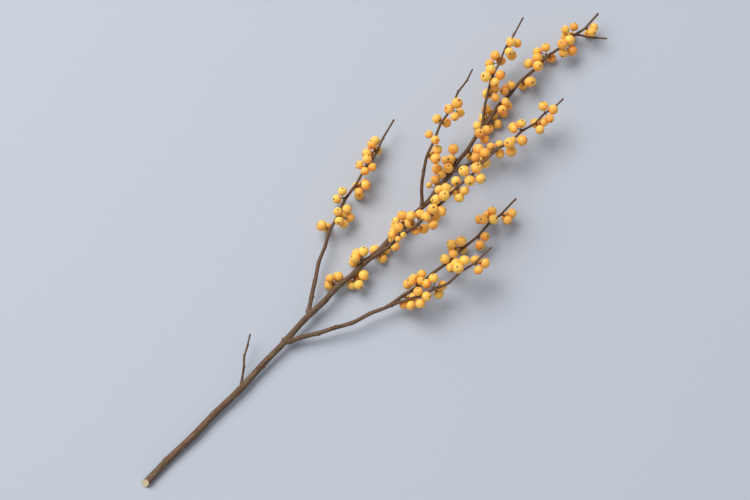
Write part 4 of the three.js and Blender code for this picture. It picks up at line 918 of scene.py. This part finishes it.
def tint(red, green, blue):
    """A display colour from 0 to 255 as the linear one that a shader takes."""
    return tuple((c / 255 / 12.92) if c <= 10 else ((c / 255 + 0.055) / 1.055) ** 2.4 for c in (red, green, blue))


def golden_skin():
    s = Surface("golden_berry_skin", IOR=1.45, Specular_IOR_Level=0.45, Coat_Weight=0.12, Coat_Roughness=0.30)
    s.shader.inputs["Subsurface Weight"].default_value = 0.6
    s.shader.inputs["Subsurface Radius"].default_value = (1.0, 0.42, 0.12)
    s.shader.inputs["Subsurface Scale"].default_value = 0.004
    here = s.place()
    tone, pole, halo = s.attribute("tone"), s.attribute("pole"), s.attribute("halo")
    broad = s.noise(here, 170.0, 2.0, 0.5)
    ripe = s.math("ADD", s.math("MULTIPLY", tone, 0.62), s.math("MULTIPLY", s.spread(broad, 0.32, 0.68), 0.30))
    ripe = s.math("ADD", ripe, s.math("MULTIPLY", s.spread(pole, 0.40, 0.02), 0.14), clamp=True)
    skin = s.mix(tint(254, 207, 97), tint(248, 166, 58), ripe)
    # Painted shade: deeper orange mixed in towards each berry's underside.
    skin = s.mix(skin, tint(242, 130, 44), s.math("MULTIPLY", s.attribute("blush"), 0.46))
    # Faint mottling, paler in cloudy patches.
    pale = s.spread(s.noise(here, 320.0, 4.0, 0.62, 0.6), 0.50, 0.78)
    skin = s.mix(skin, tint(254, 214, 134), s.math("MULTIPLY", pale, 0.34))
    skin = s.mix(skin, tint(240, 202, 92), s.math("MULTIPLY", s.attribute("green"), 0.40))
    # Lenticels: sparse pale pin-pricks.
    dots = s.cells(here, 1050.0)
    prick = s.spread(dots["Distance"], 0.20, 0.09)
    chosen = s.spread(s.noise(here, 700.0, 1.0), 0.50, 0.60)
    prick = s.math("MULTIPLY", prick, chosen)
    skin = s.mix(skin, tint(255, 232, 172), s.math("MULTIPLY", prick, 0.42))
    # Scuffs: a few small brown flecks.
    fleck = s.cells(here, 430.0)
    spot = s.spread(fleck["Distance"], 0.15, 0.06)
    mark = s.math("MULTIPLY", spot, s.spread(s.noise(here, 210.0, 2.0, 0.6), 0.61, 0.67))
    skin = s.mix(skin, tint(132, 74, 28), s.math("MULTIPLY", mark, 0.7))
    skin = s.mix(skin, tint(200, 118, 44), s.math("MULTIPLY", s.attribute("dry"), 0.45))
    # Around the stigma the skin is a deeper orange-brown.
    skin = s.mix(skin, tint(186, 104, 32), s.math("MULTIPLY", s.spread(halo, 0.10, 0.75), 0.60))
    s.set("Base Color", skin)
    gloss = s.spread(s.noise(here, 900.0, 3.0), 0.3, 0.7, 0.36, 0.50)
    s.set("Roughness", s.math("ADD", gloss, s.math("MULTIPLY", mark, 0.2)))
    relief = s.bump(s.noise(here, 2600.0, 3.0, 0.55), 0.00004, 0.5)
    relief = s.bump(prick, 0.00003, 0.5, relief)
    relief = s.bump(broad, 0.00025, 0.35, relief)
    s.set("Normal", relief)
    return s.material


def dark_stigma():
    s = Surface("dry_stigma", Specular_IOR_Level=0.3)
    here = s.place()
    rough, rim = s.noise(here, 2400.0, 4.0, 0.65), s.attribute("rim")
    dark = s.mix(tint(24, 16, 12), tint(66, 44, 30), s.spread(rough, 0.45, 0.75))
    s.set("Base Color", s.mix(dark, tint(110, 66, 32), s.math("MULTIPLY", s.spread(rim, 0.75, 1.0), 0.8)))
    s.set("Roughness", s.spread(rough, 0.3, 0.7, 0.60, 0.84))
    s.set("Normal", s.bump(rough, 0.00012, 0.8))
    return s.material


def stalk_skin():
    s = Surface("berry_stalk", Specular_IOR_Level=0.35)
    here = s.place()
    along, tone = s.attribute("along"), s.attribute("tone")
    patch = s.noise(here, 900.0, 3.0, 0.6)
    green = s.mix(tint(122, 118, 58), tint(148, 104, 56), s.spread(patch, 0.35, 0.65))
    brown = s.mix(tint(92, 54, 36), tint(122, 74, 44), s.spread(patch, 0.35, 0.65))
    mid = s.spread(along, 0.15, 0.75)
    colour = s.mix(brown, green, s.math("MULTIPLY", mid, s.spread(tone, 0.2, 0.8, 0.15, 0.75)))
    end = s.spread(along, 0.86, 1.0)
    colour = s.mix(colour, tint(92, 62, 36), s.math("MULTIPLY", end, 0.8))
    s.set("Base Color", colour)
    s.set("Roughness", s.spread(patch, 0.3, 0.7, 0.5, 0.72))
    s.set("Normal", s.bump(s.noise(here, 2200.0, 4.0, 0.6), 0.00010, 0.7))
    return s.material


def bark_skin():
    s = Surface("winterberry_bark", Specular_IOR_Level=0.40)
    grain = s.attribute("grain", vector=True)
    age, red = s.attribute("age"), s.attribute("red")
    streak = s.noise(s.scaled(grain, (1.1, 1.1, 0.14)), 1.0, 4.0, 0.60, 0.4)
    fine = s.noise(s.scaled(grain, (4.5, 4.5, 1.1)), 1.0, 5.0, 0.66)
    blotch = s.noise(s.scaled(grain, (0.34, 0.34, 0.07)), 1.0, 4.0, 0.60, 0.8)
    mottle = s.noise(s.scaled(grain, (1.6, 1.6, 0.9)), 1.0, 4.0, 0.65, 0.5)
    young = s.mix(tint(68, 47, 26), tint(110, 80, 46), s.spread(streak, 0.30, 0.72))
    old = s.mix(tint(80, 60, 40), tint(124, 99, 71), s.spread(streak, 0.30, 0.72))
    colour = s.mix(young, old, age)
    colour = s.mix(colour, tint(78, 50, 30), s.math("MULTIPLY", s.spread(mottle, 0.47, 0.30), 0.42))
    # Grey-green bloom in long patches, and darker stretches between.
    bloom = s.math("MULTIPLY", s.spread(blotch, 0.50, 0.70), s.spread(mottle, 0.36, 0.60))
    colour = s.mix(colour, tint(146, 141, 104), s.math("MULTIPLY", bloom, 0.55))
    colour = s.mix(colour, tint(70, 46, 30), s.math("MULTIPLY", s.spread(blotch, 0.44, 0.28), 0.42))
    warm = s.mix(tint(74, 26, 17), tint(108, 50, 34), s.spread(streak, 0.3, 0.7))
    colour = s.mix(colour, warm, s.math("MULTIPLY", red, 0.85))
    # Lenticels: small raised pale warts, longer than wide, of uneven size.
    cells = s.cells(s.scaled(grain, (0.86, 0.86, 0.50)), 1.0)
    kind = s.tree.nodes.new("ShaderNodeSeparateColor")
    s.plug(kind.inputs[0], cells["Color"])
    reach = s.spread(kind.outputs[0], 0.0, 1.0, 0.07, 0.24)
    dash = s.spread(s.math("SUBTRACT", cells["Distance"], reach), 0.03, -0.03)
    lenticel = s.math("MULTIPLY", dash, s.spread(kind.outputs[1], 0.40, 0.60))
    colour = s.mix(colour, tint(184, 164, 126), s.math("MULTIPLY", lenticel, 0.60))
    # Fine lengthwise checks in the older bark.
    wave = s.noise(s.scaled(grain, (1.5, 1.5, 0.11)), 1.0, 3.0, 0.55, 0.2)
    line = s.spread(s.math("ABSOLUTE", s.math("SUBTRACT", wave, 0.5)), 0.022, 0.002)
    split = s.math("MULTIPLY", s.math("MULTIPLY", line, s.spread(mottle, 0.42, 0.55)), s.spread(age, 0.25, 0.9))
    colour = s.mix(colour, tint(58, 42, 30), s.math("MULTIPLY", split, 0.40))
    scar, budded, ring = s.attribute("scar"), s.attribute("budded"), s.attribute("ring")
    colour = s.mix(colour, tint(176, 150, 114), s.math("MULTIPLY", s.spread(scar, 0.35, 0.75), 0.70))
    colour = s.mix(colour, tint(60, 40, 28), s.math("MULTIPLY", s.spread(ring, 0.4, 1.0), 0.45))
    scale = s.mix(tint(80, 50, 30), tint(126, 84, 52), s.spread(fine, 0.35, 0.7))
    colour = s.mix(colour, scale, budded)
    s.set("Base Color", colour)
    s.set("Roughness", s.math("ADD", s.spread(fine, 0.3, 0.7, 0.48, 0.68), s.math("MULTIPLY", age, 0.10)))
    relief = s.bump(fine, 0.00014, 0.7)
    relief = s.bump(s.math("ADD", s.math("MULTIPLY", streak, 0.6), s.math("MULTIPLY", mottle, 0.4)), 0.00026, 0.6, relief)
    relief = s.bump(s.math("SUBTRACT", lenticel, split), 0.00020, 0.9, relief)
    s.set("Normal", relief)
    return s.material


def cut_face():
    s = Surface("cut_wood", Specular_IOR_Level=0.3, Roughness=0.72)
    grain, core = s.attribute("grain", vector=True), s.attribute("core")
    flat = s.scaled(grain, (1.0, 1.0, 0.0))
    outward = s.tree.nodes.new("ShaderNodeVectorMath")
    outward.operation = "NORMALIZE"
    s.plug(outward.inputs[0], flat)
    ray = s.noise(s.scaled(outward.outputs[0], (11.0, 11.0, 11.0)), 1.0, 3.0, 0.6)
    pores = s.noise(s.scaled(flat, (9.0, 9.0, 0.0)), 1.0, 4.0, 0.62)
    stain = s.noise(s.scaled(flat, (0.7, 0.7, 0.0)), 1.0, 3.0, 0.5)
    colour = s.mix(tint(212, 190, 144), tint(230, 214, 174), s.spread(ray, 0.30, 0.70))
    colour = s.mix(colour, tint(190, 164, 118), s.math("MULTIPLY", s.spread(pores, 0.50, 0.70), 0.35))
    year = s.math("POWER", s.math("FRACT", s.math("MULTIPLY", core, 4.3)), 5.0)
    colour = s.mix(colour, tint(172, 142, 96), s.math("MULTIPLY", year, 0.50))
    colour = s.mix(colour, tint(184, 158, 112), s.math("MULTIPLY", s.spread(stain, 0.45, 0.70), 0.35))
    colour = s.mix(colour, tint(158, 118, 72), s.math("MULTIPLY", s.spread(core, 0.15, 0.08), 0.80))
    colour = s.mix(colour, tint(164, 158, 104), s.math("MULTIPLY", s.spread(core, 0.86, 0.90), 0.85))
    colour = s.mix(colour, tint(92, 62, 40), s.spread(core, 0.935, 0.965))
    s.set("Base Color", colour)
    relief = s.bump(s.math("ADD", s.math("MULTIPLY", pores, 0.6), s.math("MULTIPLY", ray, 0.4)), 0.00010, 0.6)
    s.set("Normal", relief)
    return s.material


bark = bark_skin()
for material in (bark, cut_face()):
    wood.data.materials.append(material)
skins = (golden_skin(), dark_stigma(), stalk_skin())
for piece in fruit:
    for material in skins:
        piece.data.materials.append(material)

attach(wood, "root")
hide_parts("woody_branch")
for number, piece in enumerate(fruit, 1):
    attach(piece, "root")
    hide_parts("berry_cluster_%02d" % number)


# ---------------------------------------------------------------- floor, light and camera

AZIMUTH, ELEVATION = math.radians(40.0), math.radians(75.0)
LENS, WIDE, HIGH, MARGIN = 85.0, 750, 500, 13

ground = bpy.data.meshes.new("pale_floor")
ground.from_pydata([(-6, -6, 0), (6, -6, 0), (6, 6, 0), (-6, 6, 0)], [], [(0, 1, 2, 3)])
floor = bpy.data.objects.new("pale_floor", ground)
bpy.context.scene.collection.objects.link(floor)
paper = Surface("pale_floor", Roughness=0.85, Specular_IOR_Level=0.2)
paper.set("Base Color", (*tint(179, 184, 192), 1.0))
ground.materials.append(paper.material)

back = np.array([math.sin(AZIMUTH) * math.cos(ELEVATION), -math.cos(AZIMUTH) * math.cos(ELEVATION), math.sin(ELEVATION)])
right = np.array([math.cos(AZIMUTH), math.sin(AZIMUTH), 0.0])
over = np.cross(back, right)
seen = np.vstack([positions(o.data)[::7] for o in [wood, *fruit]]) * MM
pixels = WIDE * LENS / 36.0


def framed(target, away):
    """The extent in pixels of the branch for a camera that looks at target from that far away."""
    rel = seen - target
    depth = away - rel @ back
    x, y = pixels * (rel @ right) / depth, pixels * (rel @ over) / depth
    return x.min(), x.max(), y.min(), y.max()


target, away = seen.mean(0), 1.5
for _ in range(60):
    x0, x1, y0, y1 = framed(target, away)
    target = target + ((x0 + x1) / 2 * right + (y0 + y1) / 2 * over) * away / pixels
    away *= max((x1 - x0) / (WIDE - 2 * MARGIN), (y1 - y0) / (HIGH - 2 * MARGIN))
print("framed", [round(v, 1) for v in framed(target, away)], "distance", round(away, 3), "px per mm", round(pixels / away / 1000, 3))

eye = bpy.data.cameras.new("camera")
eye.lens, eye.sensor_width, eye.clip_start, eye.clip_end = LENS, 36.0, 0.05, 50.0
camera = bpy.data.objects.new("camera", eye)
camera.matrix_world = Matrix([[right[i], over[i], back[i], (target + away * back)[i]] for i in range(3)] + [[0, 0, 0, 1]])
bpy.context.scene.collection.objects.link(camera)
bpy.context.scene.camera = camera


def lamp(name, kind, toward, distance, power, colour, **settings):
    """A soft light in the direction (right, up, towards the camera) of the picture."""
    data = bpy.data.lights.new(name, kind)
    data.energy, data.color = power, colour
    for key, value in settings.items():
        setattr(data, key, value)
    ob = bpy.data.objects.new(name, data)
    way = unit(toward[0] * right + toward[1] * over + toward[2] * back)
    ob.location = target + way * distance
    ob.rotation_euler = Vector(way).to_track_quat("Z", "Y").to_euler()
    bpy.context.scene.collection.objects.link(ob)


lamp("key", "SUN", (-0.42, 0.95, 0.85), 3.0, 1.98, (1.0, 0.985, 0.955), angle=0.70)
lamp("broad", "AREA", (-0.75, 0.75, 0.85), 2.4, 26.0, (0.96, 0.98, 1.0), shape="SQUARE", size=1.5)
world = bpy.data.worlds.new("pale_surround")
world.use_nodes = True
sky = world.node_tree
side = sky.nodes.new("ShaderNodeTexCoord").outputs["Generated"]
split = sky.nodes.new("ShaderNodeSeparateXYZ")
sky.links.new(side, split.inputs[0])
climb = sky.nodes.new("ShaderNodeMapRange")
climb.interpolation_type = "SMOOTHSTEP"
climb.inputs["From Min"].default_value, climb.inputs["From Max"].default_value = 0.02, 0.55
sky.links.new(split.outputs["Z"], climb.inputs["Value"])
blend = sky.nodes.new("ShaderNodeMix")
blend.data_type = "RGBA"
sky.links.new(climb.outputs[0], blend.inputs["Factor"])
low, high = [socket for socket in blend.inputs if socket.type == "RGBA"]
low.default_value, high.default_value = (0.60, 0.635, 0.69, 1.0), (0.40, 0.42, 0.455, 1.0)
sky.links.new([socket for socket in blend.outputs if socket.type == "RGBA"][0], sky.nodes["Background"].inputs["Color"])
bpy.context.scene.world = world
bpy.context.scene.view_settings.view_transform = "Standard"
